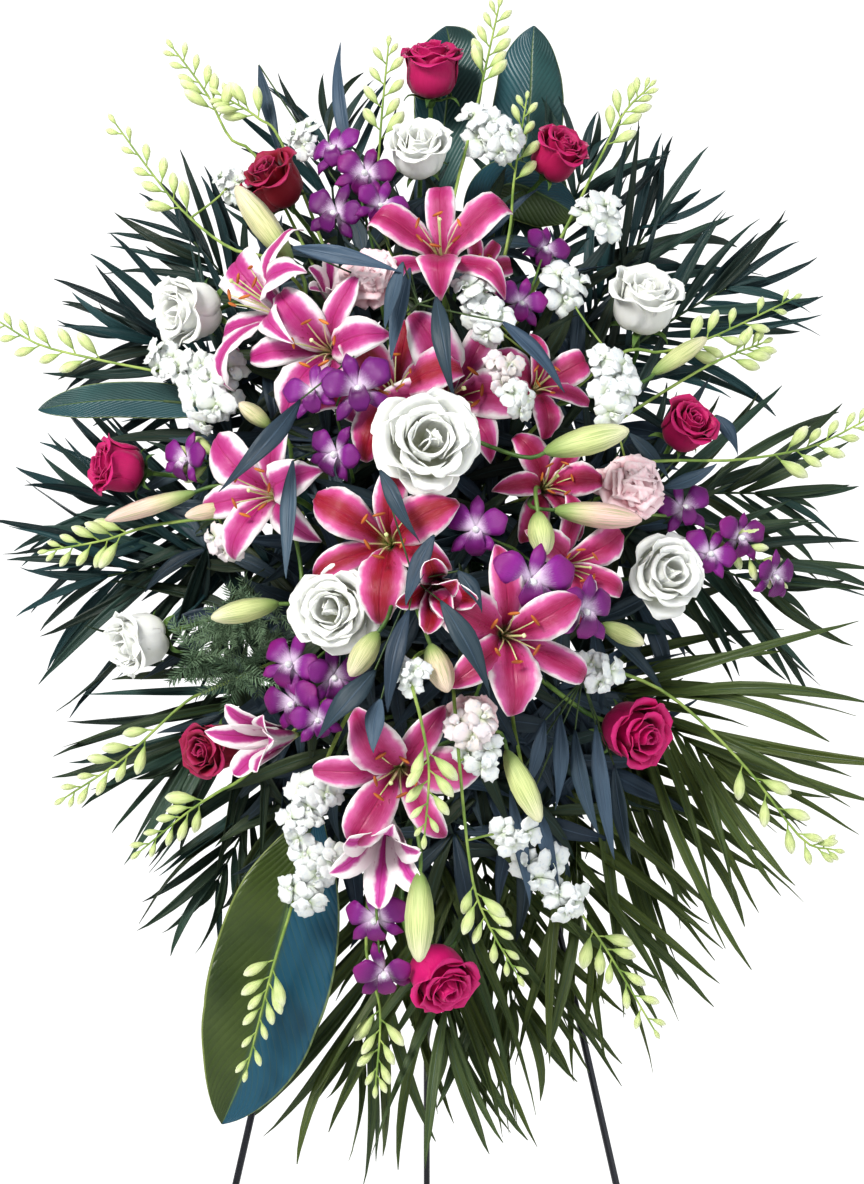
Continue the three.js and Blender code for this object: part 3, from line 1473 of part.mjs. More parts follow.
function makeOrchids() {
  Object.entries(orchids).forEach(([name, { stems, florets }]) => {
    const hub = frontHub(name, 2.4);
    const lines = [];
    stems.forEach((stem) => {
      const root = lines.length ? [alongLine(lines[0], 0.24)] : [hub.inner, hub.outer];
      lines.push(addOrchidStem(name, root, stem));
    });
    florets.forEach((floret) => {
      const seat = seen(floret.at);
      const distance = (line) => alongLine(line, nearestShare(line, seat)).distanceTo(seat);
      const nearest = lines.reduce((best, line) => (distance(line) < distance(best) ? line : best));
      addFloret(name, nearest, floret, name.startsWith('orchid_purple') ? broadLobes : pointedLobes);
    });
  });
}

function makeFoliage() {
  Object.entries(broadLeaves).forEach(([name, shape]) => makeBroadLeaf(name, shape));
  Object.entries(palms).forEach(([name, { side, along, out, fronds }]) => {
    const hub = edgeHub(side, along, out, 5);
    rootStem(name, hub, 5, 6);
    fronds.forEach((frond) => growFrond(name, hub, frond));
  });
  const tuft = frontHub(fern.name, 2.4);
  rootStem(fern.name, tuft, 2.4, 4);
  fern.fronds.forEach((frond) => growFrond(fern.name, tuft, frond, 2.2, 0.8, 1.2));
  Object.entries(willows).forEach(([name, { to, leaves }]) => {
    const main = willowStem(name, to);
    addWillowLeaves(name, main, leaves);
  });
}

// The stand
function fromGeometry(geometry) {
  const points = [];
  const indexOf = new Map();
  const source = (geometry.index ? geometry.toNonIndexed() : geometry).getAttribute('position');
  const skin = new Skin();
  for (let i = 0; i < source.count; i += 3) {
    const face = [0, 1, 2].map((k) => {
      const point = new THREE.Vector3().fromBufferAttribute(source, i + k);
      const key = point.toArray().map((value) => Math.round(value * 1000)).join();
      if (!indexOf.has(key)) {
        indexOf.set(key, points.push(point) - 1);
      }
      return indexOf.get(key);
    });
    if (new Set(face).size === 3) {
      skin.faces.push(face);
    }
  }
  skin.points = points;
  return skin.solid();
}

function block([left, right], [low, high], [back, front]) {
  const geometry = new THREE.BoxGeometry(right - left, front - back, high - low);
  geometry.translate((left + right) / 2, -(front + back) / 2, (low + high) / 2);
  geometry.applyMatrix4(leaning);
  return fromGeometry(geometry);
}

function bandRing(inner, outer, half, sides) {
  const shape = new THREE.Shape();
  const hole = new THREE.Path();
  for (let k = 0; k < sides; k += 1) {
    const angle = (2 * Math.PI * k) / sides;
    const corner = [Math.cos(angle), Math.sin(angle)];
    const move = k === 0 ? 'moveTo' : 'lineTo';
    shape[move](corner[0] * outer, corner[1] * outer);
    hole[move](corner[0] * inner, corner[1] * inner);
  }
  shape.closePath();
  hole.closePath();
  shape.holes.push(hole);
  const geometry = new THREE.ExtrudeGeometry(shape, { depth: half * 2, bevelEnabled: false });
  geometry.translate(0, 0, -half);
  geometry.rotateY(Math.PI / 2);
  return geometry;
}

// A leg from its top to the floor, cut flat where it stands
function leg(top, foot, radius, sides) {
  const rings = tubeRings([top, foot], radius, sides);
  const along = foot.clone().sub(top).normalize();
  rings[1].forEach((point) => point.addScaledVector(along, -point.z / along.z));
  return loft(rings);
}

const apex = onEasel([0, apexUp, 0]);

function makeStand() {
  const legTop = apexUp - hingeBarRadius - rodRadius * 0.3 - gap;
  const footUp = -foamHeight / Math.cos(radians(leanBack));
  for (const [name, sign] of [['easel_leg_left', -1], ['easel_leg_right', 1]]) {
    const spread = (up) => sign * (legTopSpread + legSlope * (apexUp - up));
    const top = onEasel([spread(legTop), legTop, 0]);
    const foot = onEasel([spread(footUp), footUp, 0]);
    place(name, name, leg(top, foot, rodRadius, 8));
  }
  crossbarUps.forEach((up, k) => {
    const half = legTopSpread + legSlope * (apexUp - up) - rodRadius * 1.03 - gap - crossbarRadius * legSlope;
    const bar = tube([onEasel([-half, up, 0]), onEasel([half, up, 0])], crossbarRadius, 8);
    place(['easel_crossbar_upper', 'easel_crossbar_lower'][k], 'crossbar', bar);
  });
  const bar = new THREE.CylinderGeometry(hingeBarRadius, hingeBarRadius, hingeBarHalf * 2, eyeSides);
  bar.rotateZ(Math.PI / 2);
  bar.translate(...apex.toArray());
  const knobs = [-1, 1].map((sign) => {
    const knob = new THREE.CylinderGeometry(knobRadius, knobRadius, knobWidth, 10);
    knob.rotateZ(Math.PI / 2);
    knob.translate(apex.x + sign * hingeBarHalf, apex.y, apex.z);
    return fromGeometry(knob);
  });
  place('easel_hinge_bar', 'easel_hinge_bar', fromGeometry(bar));
  knobs.forEach((knob) => place('easel_hinge_bar', 'easel_hinge_bar', knob));
  const boreCorner = (hingeBarRadius + hingeClearance) / Math.cos(Math.PI / eyeSides);
  const eye = bandRing(boreCorner, eyeRadius, eyeWidth / 2, eyeSides);
  eye.translate(...apex.toArray());
  place('easel_leg_back', 'easel_leg_back', fromGeometry(eye));
  const down = new THREE.Vector3(0, Math.sin(radians(backLean)), -Math.cos(radians(backLean)));
  const top = apex.clone().addScaledVector(down, hingeBarRadius + 2.6);
  const foot = apex.clone().addScaledVector(down, apex.z / Math.cos(radians(backLean)));
  place('easel_leg_back', 'easel_leg_back', leg(top, foot, rodRadius, 8));
}

// The holder: a tray hooked over the crossbars, the foam in it and a strap round both
function makeHolder() {
  const width = foamHalfWidth + gap + trayWall;
  const length = foamHalfLength + gap + trayWall;
  const tray = block([-width, width], [-length, length], [trayBack, trayFront]);
  const nearWall = foamHalfWidth + gap;
  const nearEnd = foamHalfLength + gap;
  const pocket = block([-nearWall, nearWall], [-nearEnd, nearEnd], [trayBack + trayFloor, trayFront + 1]);
  const hooks = crossbarUps.flatMap((up) => [-hookSpread, hookSpread].flatMap((across) => {
    const span = [across - hookWidth / 2, across + hookWidth / 2];
    const over = up + crossbarRadius + gap;
    const behind = -crossbarRadius - gap;
    return [
      block(span, [over, over + hookThick], [behind - hookThick, trayBack + 1]),
      block(span, [up - crossbarRadius, over + 1], [behind - hookThick, behind]),
    ];
  }));
  place('holder_tray', 'holder_tray', hooks.reduce((all, hook) => all.add(hook), tray.subtract(pocket)));
  const foamLength = [-foamHalfLength, foamHalfLength];
  const foam = block([-foamHalfWidth, foamHalfWidth], foamLength, [foamBack, foamFront]);
  place('holder_foam', 'holder_foam', foam);
  const outer = nearWall + strapThick;
  const strapFront = foamFront + gap;
  const band = block([-outer, outer], [-strapHalf, strapHalf], [trayFront + gap, strapFront + strapThick]);
  const inside = block([-nearWall, nearWall], [-strapHalf - 1, strapHalf + 1], [trayFront, strapFront]);
  place('holder_strap', 'holder_strap', band.subtract(inside));
}

makeStand();
makeHolder();
makeStems();
makeOrchids();
makeFoliage();

const finishes = [
  ['easel', 'steel'], ['holder_foam', 'foam'], ['holder', 'plastic'], ['palm', 'palm'], ['leaf', 'broadLeaf'],
  ['willow', 'greyLeaf'], ['fern', 'fern'], ['rose_white', 'whiteRose'], ['rose', 'redRose'], ['lily', 'lily'],
  ['orchid_purple', 'orchid'], ['orchid_white', 'whiteOrchid'], ['carnation', 'carnation'],
];

// Joining leaves slivers: short edges are drawn together into a point, and thin caps are flipped
class Surface {
  constructor(points, faces) {
    this.points = points;
    this.faces = faces;
    this.facesOf = points.map(() => new Set());
    faces.forEach((face, f) => face.forEach((v) => this.facesOf[v].add(f)));
  }

  around(v) {
    return new Set([...this.facesOf[v]].flatMap((f) => this.faces[f]).filter((other) => other !== v));
  }

  normal([a, b, c]) {
    const side = this.points[b].clone().sub(this.points[a]);
    return side.cross(this.points[c].clone().sub(this.points[a]));
  }

  isThin(face) {
    const longest = Math.max(...face.map((v, k) => this.points[v].distanceTo(this.points[face[(k + 1) % 3]])));
    return this.normal(face).length() / longest < thinFace;
  }

  remove(f) {
    this.faces[f].forEach((v) => this.facesOf[v].delete(f));
    this.faces[f] = null;
  }

  add(face) {
    const f = this.faces.push(face) - 1;
    face.forEach((v) => this.facesOf[v].add(f));
  }

  // Moves corner b onto corner a, if the surface stays closed and no face turns over
  drawTogether(a, b) {
    const far = this.around(b);
    const shared = [...this.around(a)].filter((v) => far.has(v));
    const moved = [...this.facesOf[b]].filter((f) => !this.faces[f].includes(a));
    const turnsOver = (f) => {
      const moved = this.faces[f].map((v) => (v === b ? a : v));
      const turn = this.normal(this.faces[f]).angleTo(this.normal(moved));
      return this.isThin(moved) || !this.isThin(this.faces[f]) && turn > sliverTurn;
    };
    if (shared.length !== 2 || moved.some(turnsOver)) {
      return false;
    }
    const faces = moved.map((f) => this.faces[f].map((v) => (v === b ? a : v)));
    [...this.facesOf[b]].forEach((f) => this.remove(f));
    faces.forEach((face) => this.add(face));
    return true;
  }

  // Turns the long edge of a thin face to the other corners of the two faces that meet there
  flip(f) {
    const sides = [0, 1, 2].map((k) => [this.faces[f][k], this.faces[f][(k + 1) % 3], this.faces[f][(k + 2) % 3]]);
    const length = ([p, q]) => this.points[p].distanceTo(this.points[q]);
    const [p, q, m] = sides.reduce((best, side) => (length(side) > length(best) ? side : best));
    const other = [...this.facesOf[p]].find((g) => g !== f && this.faces[g].includes(q));
    const r = this.faces[other].find((v) => v !== p && v !== q);
    if (this.around(m).has(r)) {
      return false;
    }
    this.remove(f);
    this.remove(other);
    this.add([m, p, r]);
    this.add([r, q, m]);
    return true;
  }

  tidyFace(f) {
    const face = this.faces[f];
    const sides = [0, 1, 2].map((k) => {
      const ends = [face[k], face[(k + 1) % 3]];
      return { ends, length: this.points[ends[0]].distanceTo(this.points[ends[1]]) };
    });
    sides.sort((first, second) => first.length - second.length);
    const [{ ends, length }] = sides;
    if (length < shortEdge && (this.drawTogether(...ends) || this.drawTogether(ends[1], ends[0]))) {
      return true;
    }
    return this.isThin(face) && this.flip(f);
  }

  withoutSlivers() {
    for (let round = 0; round < 6; round += 1) {
      const count = this.faces.length;
      let changes = 0;
      for (let f = 0; f < count; f += 1) {
        if (this.faces[f] && this.tidyFace(f)) {
          changes += 1;
        }
      }
      if (changes === 0) {
        break;
      }
    }
    return this.faces.filter((face) => face);
  }
}

// One mesh for each part: its solids joined, and its largest piece kept if a scrap comes loose
parts.forEach((solids, name) => {
  const joined = solids.slice(1).reduce((all, solid) => all.add(solid), solids[0]);
  const pieces = joined.decompose().sort((a, b) => b.volume() - a.volume());
  const { vertProperties, triVerts } = pieces[0].getMesh();
  const points = [];
  for (let i = 0; i < vertProperties.length; i += 3) {
    points.push(new THREE.Vector3(...vertProperties.slice(i, i + 3)));
  }
  const faces = [];
  for (let i = 0; i < triVerts.length; i += 3) {
    faces.push([...triVerts.slice(i, i + 3)]);
  }
  const clean = new Surface(points, faces).withoutSlivers();
  const geometry = new THREE.BufferGeometry().setFromPoints(points);
  geometry.setIndex(clean.flat());
  geometry.computeVertexNormals();
  const [, finish] = finishes.find(([start]) => name.startsWith(start));
  const mesh = new THREE.Mesh(geometry, new THREE.MeshStandardMaterial(colours[finish]));
  mesh.name = name;
  group.add(mesh);
});

// The origin is on the floor, under the middle of the whole
const whole = new THREE.Box3().setFromObject(group);
const middle = whole.getCenter(new THREE.Vector3());
group.position.set(-middle.x, -middle.y, -whole.min.z);
group.updateMatrixWorld(true);

export default group;
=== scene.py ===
import math
import random

import bmesh
import bpy
from mathutils import Matrix, Vector


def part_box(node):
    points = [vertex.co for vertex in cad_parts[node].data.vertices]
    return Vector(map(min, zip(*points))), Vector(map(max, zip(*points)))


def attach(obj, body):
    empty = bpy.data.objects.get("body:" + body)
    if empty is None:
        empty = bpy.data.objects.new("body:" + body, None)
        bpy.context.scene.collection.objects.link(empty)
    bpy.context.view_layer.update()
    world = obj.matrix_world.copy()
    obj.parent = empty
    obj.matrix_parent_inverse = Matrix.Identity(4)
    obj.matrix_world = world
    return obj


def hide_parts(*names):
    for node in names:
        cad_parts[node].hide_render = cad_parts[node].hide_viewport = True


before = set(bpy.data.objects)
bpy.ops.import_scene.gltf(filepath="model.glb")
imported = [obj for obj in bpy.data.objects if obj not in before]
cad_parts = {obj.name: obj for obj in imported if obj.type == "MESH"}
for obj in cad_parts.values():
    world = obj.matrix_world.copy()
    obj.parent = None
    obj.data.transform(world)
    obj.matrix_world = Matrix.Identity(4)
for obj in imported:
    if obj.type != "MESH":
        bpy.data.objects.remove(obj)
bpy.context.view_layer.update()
random.seed(12)
mm = 0.001

# Where the spray stands: the foam's middle, and the easel's lean
spray = {"foamHeight": 1.126, "lean": math.radians(10), "apexUp": 0.19}
# The photo's view: the eye's distance from the plane of the flowers, where it looks from the foam's middle,
# how far that plane stands in front of the foam's middle, and half the height that is seen there
eye = {"distance": 2.6, "right": 0.006, "up": -0.032, "plane": 0.11, "halfHeight": 0.592}

hingeLow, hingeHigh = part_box("easel_hinge_bar")
hinge = (hingeLow + hingeHigh) / 2
shift = Vector((hinge.x, hinge.y - spray["apexUp"] * math.sin(spray["lean"]), 0))


def clamp(value):
    return min(max(value, 0), 1)


def seen(place):  # a place read off the photo: right, up and forward of the foam's middle, in mm
    right, up, forward = (value * mm for value in place)
    back = up * math.tan(spray["lean"]) - forward
    spread = (eye["distance"] + back + eye["plane"]) / eye["distance"]
    x = eye["right"] + (right - eye["right"]) * spread
    z = spray["foamHeight"] + eye["up"] + (up - eye["up"]) * spread
    return Vector((x, back, z)) + shift


def onEasel(across, up, out):  # a place in the easel's leaning frame
    turned = Matrix.Rotation(-spray["lean"], 4, "X") @ Vector((across, -out, up))
    return turned + Vector((0, 0, spray["foamHeight"])) + shift


def offEasel(point):  # and back again: across, up and out
    flat = Matrix.Rotation(spray["lean"], 4, "X") @ (point - shift - Vector((0, 0, spray["foamHeight"])))
    return flat.x, flat.z, -flat.y


def facing(turn, lift):  # a way towards the viewer, turned right and lifted by these angles
    turn, lift = math.radians(turn), math.radians(lift)
    return Vector((math.sin(turn) * math.cos(lift), -math.cos(turn) * math.cos(lift), math.sin(lift)))


def headMatrix(seat, axis, roll, size):  # a bloom's own frame, with +Z out of its face
    upright = Vector((0, 1, 0)) if abs(axis.z) > 0.95 else Vector((0, 0, 1))
    right = upright.cross(axis).normalized()
    over = axis.cross(right).normalized()
    turned = Matrix((right, over, axis)).transposed().to_4x4() @ Matrix.Rotation(math.radians(roll), 4, "Z")
    return Matrix.Translation(seat) @ turned @ Matrix.Scale(size, 4)


def deselectAll():
    if bpy.context.mode != "OBJECT":
        bpy.ops.object.mode_set(mode="OBJECT")
    bpy.ops.object.select_all(action="DESELECT")


def curveAt(points, share):  # a smooth curve through evenly spaced values or points
    place = clamp(share) * (len(points) - 1)
    i = min(int(place), len(points) - 2)
    f = place - i
    a, b, c, d = points[max(i - 1, 0)], points[i], points[i + 1], points[min(i + 2, len(points) - 1)]
    bend, twist = a * 2 - b * 5 + c * 4 - d, d - a + b * 3 - c * 3
    return (b * 2 + (c - a) * f + bend * f ** 2 + twist * f ** 3) * 0.5


# The camera, at the photo's viewing angle
bpy.ops.object.camera_add(
    location=(
        eye["right"] + shift.x,
        shift.y - eye["distance"] - eye["plane"],
        spray["foamHeight"] + eye["up"],
    ),
    rotation=(math.radians(90), 0, 0),
)
camera = bpy.context.object
camera.name = "photo_camera"
camera.data.sensor_width = 36
camera.data.lens = camera.data.sensor_width / 2 * eye["distance"] / eye["halfHeight"]
bpy.context.scene.camera = camera


# Finishes: trees of plain nodes on a piece's own UV map, its tone attribute or its Object coordinates
def newFinish(name, **sockets):
    finish = bpy.data.materials.new(name)
    finish.use_nodes = True
    shader = finish.node_tree.nodes["Principled BSDF"]
    for socket, value in sockets.items():
        shader.inputs[socket.replace("_", " ")].default_value = value
    return finish


def addNode(finish, kind, **settings):
    node = finish.node_tree.nodes.new("ShaderNode" + kind)
    for key, value in settings.items():
        if key in node.inputs:
            join(finish, value, node.inputs[key])
        else:
            setattr(node, key, value)
    return node


def join(finish, value, socket):
    if isinstance(value, bpy.types.NodeSocket):
        finish.node_tree.links.new(value, socket)
    else:
        socket.default_value = value


def sums(finish, operation, *terms):
    node = addNode(finish, "Math", operation=operation)
    for term, socket in zip(terms, node.inputs):
        join(finish, term, socket)
    return node.outputs[0]


def times(finish, first, second):
    return sums(finish, "MULTIPLY", first, second)


def fade(finish, value, low, high, start=0.0, end=1.0):
    node = addNode(finish, "MapRange", interpolation_type="SMOOTHSTEP")
    for term, socket in zip((value, low, high, start, end), node.inputs):
        join(finish, term, socket)
    return node.outputs[0]


def mix(finish, share, low, high, way="MIX"):
    node = addNode(finish, "Mix", data_type="RGBA", blend_type=way)
    for term, socket in ((share, 0), (low, 6), (high, 7)):
        value = term if isinstance(term, (bpy.types.NodeSocket, float, int)) else (*term, 1)
        join(finish, value, node.inputs[socket])
    return node.outputs[2]


def noiseOn(finish, place, scale, stretch=(1, 1, 1), detail=3.0):
    turned = addNode(finish, "Mapping", Vector=place, Scale=stretch)
    return addNode(finish, "TexNoise", Vector=turned.outputs[0], Scale=scale, Detail=detail).outputs[0]


def bladeInputs(finish):  # across and along a petal or leaf, how far from its middle line, and its tone
    places = addNode(finish, "TexCoord")
    parts = addNode(finish, "SeparateXYZ", Vector=places.outputs["UV"])
    tone = addNode(finish, "Attribute", attribute_name="tone")
    shades = addNode(finish, "SeparateColor", Color=tone.outputs["Color"])
    side = sums(finish, "ABSOLUTE", sums(finish, "MULTIPLY_ADD", parts.outputs["X"], 2.0, -1.0))
    return {
        "uv": places.outputs["UV"],
        "object": places.outputs["Object"],
        "across": parts.outputs["X"],
        "along": parts.outputs["Y"],
        "side": side,
        "depth": shades.outputs[0],
        "warmth": shades.outputs[1],
    }


def dress(finish, colour, bump=None, strength=0.3, roughness=None, depth=0.002):
    shader = finish.node_tree.nodes["Principled BSDF"]
    join(finish, colour, shader.inputs["Base Color"])
    if bump is not None:
        raised = addNode(finish, "Bump", Height=bump, Strength=strength, Distance=depth)
        join(finish, raised.outputs[0], shader.inputs["Normal"])
    if roughness is not None:
        join(finish, roughness, shader.inputs["Roughness"])
    return finish


def makeRedPetal():
    finish = newFinish("red_rose_petal", Roughness=0.55, Sheen_Weight=0.12, Sheen_Roughness=0.4)
    on = bladeInputs(finish)
    deep = mix(finish, on["warmth"], (0.28, 0.001, 0.055), (0.15, 0.001, 0.008))
    bright = mix(finish, on["warmth"], (0.60, 0.004, 0.165), (0.36, 0.002, 0.025))
    body = mix(finish, on["depth"], deep, bright)
    lip = mix(finish, 0.5, body, (0.74, 0.02, 0.26))
    veins = noiseOn(finish, on["uv"], 9.0, (9, 1, 1))
    patches = noiseOn(finish, on["object"], 60.0)
    colour = mix(finish, fade(finish, on["along"], 0.62, 1.0, 0.0, 0.75), body, lip)
    # The lower half of each petal darkens towards near black: painted shade deep inside the bloom
    colour = mix(finish, fade(finish, on["along"], 0.5, 0.0, 0.0, 0.75), colour, (0.08, 0.0, 0.006))
    colour = mix(finish, fade(finish, veins, 0.45, 0.75, 0.0, 0.3), colour, deep)
    colour = mix(finish, fade(finish, patches, 0.5, 0.8, 0.0, 0.25), colour, lip)
    return dress(finish, colour, veins, 0.25)


def makeWhitePetal():
    # The faint white emission is a painted glow that lifts the shaded inside of the bloom, standing in for
    # light passing through the petals
    finish = newFinish(
        "white_rose_petal", Roughness=0.5, Sheen_Weight=0.05,
        Subsurface_Weight=0.35, Subsurface_Radius=(0.012, 0.012, 0.010),
        Emission_Color=(0.93, 0.95, 0.88, 1), Emission_Strength=0.02,
    )
    on = bladeInputs(finish)
    veins = noiseOn(finish, on["uv"], 10.0, (10, 1, 1))
    colour = mix(finish, fade(finish, on["along"], 0.4, 0.0), (0.86, 0.87, 0.84), (0.80, 0.82, 0.62))
    colour = mix(finish, fade(finish, veins, 0.5, 0.8, 0.0, 0.3), colour, (0.82, 0.86, 0.90))
    colour = mix(finish, fade(finish, on["warmth"], 0.2, 1.0, 0.0, 0.5), colour, (0.88, 0.82, 0.62))
    return dress(finish, colour, veins, 0.2)


def makeLilyPetal():
    finish = newFinish("lily_petal", Roughness=0.4, Sheen_Weight=0.04)
    on = bladeInputs(finish)
    wobble = noiseOn(finish, on["uv"], 5.0, (1, 2, 1))
    side = sums(finish, "ADD", on["side"], sums(finish, "MULTIPLY_ADD", wobble, 0.35, -0.175))
    magenta = mix(finish, on["warmth"], (0.33, 0.003, 0.085), (0.27, 0.001, 0.006))
    pink = mix(finish, on["warmth"], (0.52, 0.045, 0.32), (0.46, 0.008, 0.06))
    heart = mix(finish, on["depth"], pink, magenta)
    flank = mix(finish, on["depth"], (0.76, 0.34, 0.66), (0.60, 0.06, 0.27))
    colour = mix(finish, fade(finish, side, 0.22, 0.85), heart, flank)
    rim = sums(finish, "SUBTRACT", 1.0, times(finish, fade(finish, on["depth"], 0.8, 0.0), 0.5))
    white = fade(finish, side, sums(finish, "SUBTRACT", rim, 0.3), rim)
    colour = mix(finish, white, colour, (0.93, 0.88, 0.88))
    tip = fade(finish, on["along"], 0.9, 1.0, 0.0, 0.5)
    colour = mix(finish, tip, colour, (0.92, 0.72, 0.78))
    throat = fade(finish, on["along"], 0.22, 0.06)
    colour = mix(finish, throat, colour, (0.62, 0.70, 0.30))
    spots = addNode(finish, "Mapping", Vector=on["uv"], Scale=(11, 20, 1))
    cells = addNode(finish, "TexVoronoi", Vector=spots.outputs[0], Scale=1.0).outputs["Distance"]
    inField = times(finish, fade(finish, on["along"], 0.6, 0.3), fade(finish, on["side"], 0.7, 0.35))
    dots = times(finish, fade(finish, cells, 0.3, 0.2), inField)
    colour = mix(finish, times(finish, dots, 0.85), colour, (0.22, 0.0, 0.02))
    rib = fade(finish, on["side"], 0.09, 0.0)
    colour = mix(finish, times(finish, rib, 0.35), colour, (0.30, 0.0, 0.05))
    veins = noiseOn(finish, on["uv"], 12.0, (9, 0.8, 1))
    colour = mix(finish, fade(finish, veins, 0.5, 0.8, 0.0, 0.25), colour, (0.80, 0.30, 0.50))
    height = sums(finish, "ADD", times(finish, dots, 1.4), veins)
    height = sums(finish, "SUBTRACT", height, times(finish, rib, 1.5))
    return dress(finish, colour, height, 0.4)


def makeOrchidPetal():
    finish = newFinish("purple_orchid_petal", Roughness=0.42, Sheen_Weight=0.06)
    on = bladeInputs(finish)
    veins = noiseOn(finish, on["uv"], 9.0, (10, 0.9, 1))
    body = mix(finish, on["depth"], (0.29, 0.010, 0.32), (0.085, 0.001, 0.085))
    edge = mix(finish, on["warmth"], (0.15, 0.002, 0.17), (0.26, 0.002, 0.18))
    colour = mix(finish, fade(finish, on["along"], 0.35, 1.0), body, edge)
    colour = mix(finish, fade(finish, veins, 0.5, 0.75, 0.0, 0.6), colour, (0.08, 0.0, 0.11))
    reach = sums(finish, "MULTIPLY_ADD", veins, 0.5, 0.22)
    pale = times(finish, fade(finish, on["along"], reach, times(finish, reach, 0.35)), 0.9)
    colour = mix(finish, pale, colour, (0.86, 0.74, 0.90))
    return dress(finish, colour, veins, 0.3)


def makeWhiteOrchidPetal():
    finish = newFinish("white_orchid_petal", Roughness=0.5, Sheen_Weight=0.05)
    on = bladeInputs(finish)
    veins = noiseOn(finish, on["uv"], 10.0, (8, 1, 1))
    crumple = noiseOn(finish, on["object"], 260.0)
    body = mix(finish, on["warmth"], (0.88, 0.91, 0.90), (0.90, 0.70, 0.74))
    body = mix(finish, on["depth"], body, (0.66, 0.78, 0.40))
    colour = mix(finish, fade(finish, on["along"], 0.5, 0.0, 0.0, 0.8), body, (0.62, 0.74, 0.42))
    colour = mix(finish, fade(finish, crumple, 0.5, 0.72, 0.0, 0.5), colour, (0.62, 0.70, 0.80))
    return dress(finish, colour, sums(finish, "ADD", veins, crumple), 0.5)


def makeCarnationPetal():
    finish = newFinish("carnation_petal", Roughness=0.7, Sheen_Weight=0.1)
    on = bladeInputs(finish)
    crumple = noiseOn(finish, on["object"], 220.0)
    colour = mix(finish, fade(finish, on["along"], 0.3, 1.0), (0.80, 0.36, 0.42), (0.92, 0.74, 0.76))
    colour = mix(finish, fade(finish, crumple, 0.45, 0.75, 0.0, 0.6), colour, (0.86, 0.52, 0.58))
    return dress(finish, colour, crumple, 0.4)


def makeBudFinish(name, foot, flank, tip, streak):
    finish = newFinish(name, Roughness=0.45, Sheen_Weight=0.1)
    on = bladeInputs(finish)
    veins = noiseOn(finish, on["uv"], 6.0, (7, 0.35, 1))
    green = mix(finish, fade(finish, on["along"], 0.0, 0.45), foot, flank)
    green = mix(finish, fade(finish, on["along"], 0.55, 1.0), green, tip)
    colour = mix(finish, times(finish, on["depth"], fade(finish, on["along"], 0.1, 0.6)), green, streak)
    colour = mix(finish, fade(finish, veins, 0.45, 0.65, 0.0, 0.6), colour, foot)
    return dress(finish, colour, veins, 0.5)


def makeLeafFinish(name, dark, light, back, stripes, roughness):
    finish = newFinish(name, Roughness=roughness, Specular_IOR_Level=0.35)
    on = bladeInputs(finish)
    lines = noiseOn(finish, on["uv"], 4.0, (stripes, 0.7, 1))
    patches = noiseOn(finish, on["object"], 14.0)
    share = sums(finish, "ADD", times(finish, on["depth"], 0.8), times(finish, patches, 0.35))
    colour = mix(finish, fade(finish, share, 0.1, 1.0), dark, light)
    colour = mix(finish, times(finish, on["warmth"], 0.7), colour, back)
    colour = mix(finish, fade(finish, lines, 0.48, 0.7, 0.0, 0.45), colour, dark)
    rib = fade(finish, on["side"], 0.12, 0.0)
    colour = mix(finish, times(finish, rib, 0.5), colour, light)
    return dress(finish, colour, sums(finish, "ADD", lines, rib), 0.35)


def makeBroadFinish():
    finish = newFinish("broad_leaf_blade", Roughness=0.36, Specular_IOR_Level=0.4)
    on = bladeInputs(finish)
    slant = sums(finish, "SUBTRACT", times(finish, on["along"], 26.0), times(finish, on["side"], 7.0))
    ribs = sums(finish, "ABSOLUTE", sums(finish, "SINE", times(finish, slant, math.pi)))
    patches = noiseOn(finish, on["object"], 9.0)
    dark = mix(finish, on["depth"], (0.013, 0.042, 0.046), (0.026, 0.045, 0.006))
    light = mix(finish, on["depth"], (0.032, 0.105, 0.112), (0.075, 0.105, 0.012))
    colour = mix(finish, fade(finish, patches, 0.3, 0.75), dark, light)
    # One half of the blade turns blue by its warmth tone: a painted sheen of reflected light, not the leaf's
    # own colour
    flank = fade(finish, on["across"], 0.56, 0.42)
    colour = mix(finish, times(finish, flank, on["warmth"]), colour, (0.012, 0.075, 0.120))
    colour = mix(finish, fade(finish, ribs, 0.3, 0.0, 0.0, 0.3), colour, light)
    rib = fade(finish, on["side"], 0.05, 0.0)
    colour = mix(finish, rib, colour, (0.10, 0.16, 0.05))
    colour = mix(finish, fade(finish, on["side"], 0.955, 0.985, 0.0, 0.7), colour, (0.26, 0.32, 0.10))
    height = sums(finish, "SUBTRACT", times(finish, ribs, 0.5), times(finish, rib, 1.5))
    return dress(finish, colour, height, 0.35, depth=0.003)


def makeStalkFinish(name, dark, light):
    finish = newFinish(name, Roughness=0.5)
    on = bladeInputs(finish)
    patches = noiseOn(finish, on["object"], 45.0)
    fibres = noiseOn(finish, on["object"], 500.0, (1, 1, 0.08))
    colour = mix(finish, fade(finish, patches, 0.35, 0.7), dark, light)
    return dress(finish, colour, fibres, 0.3)


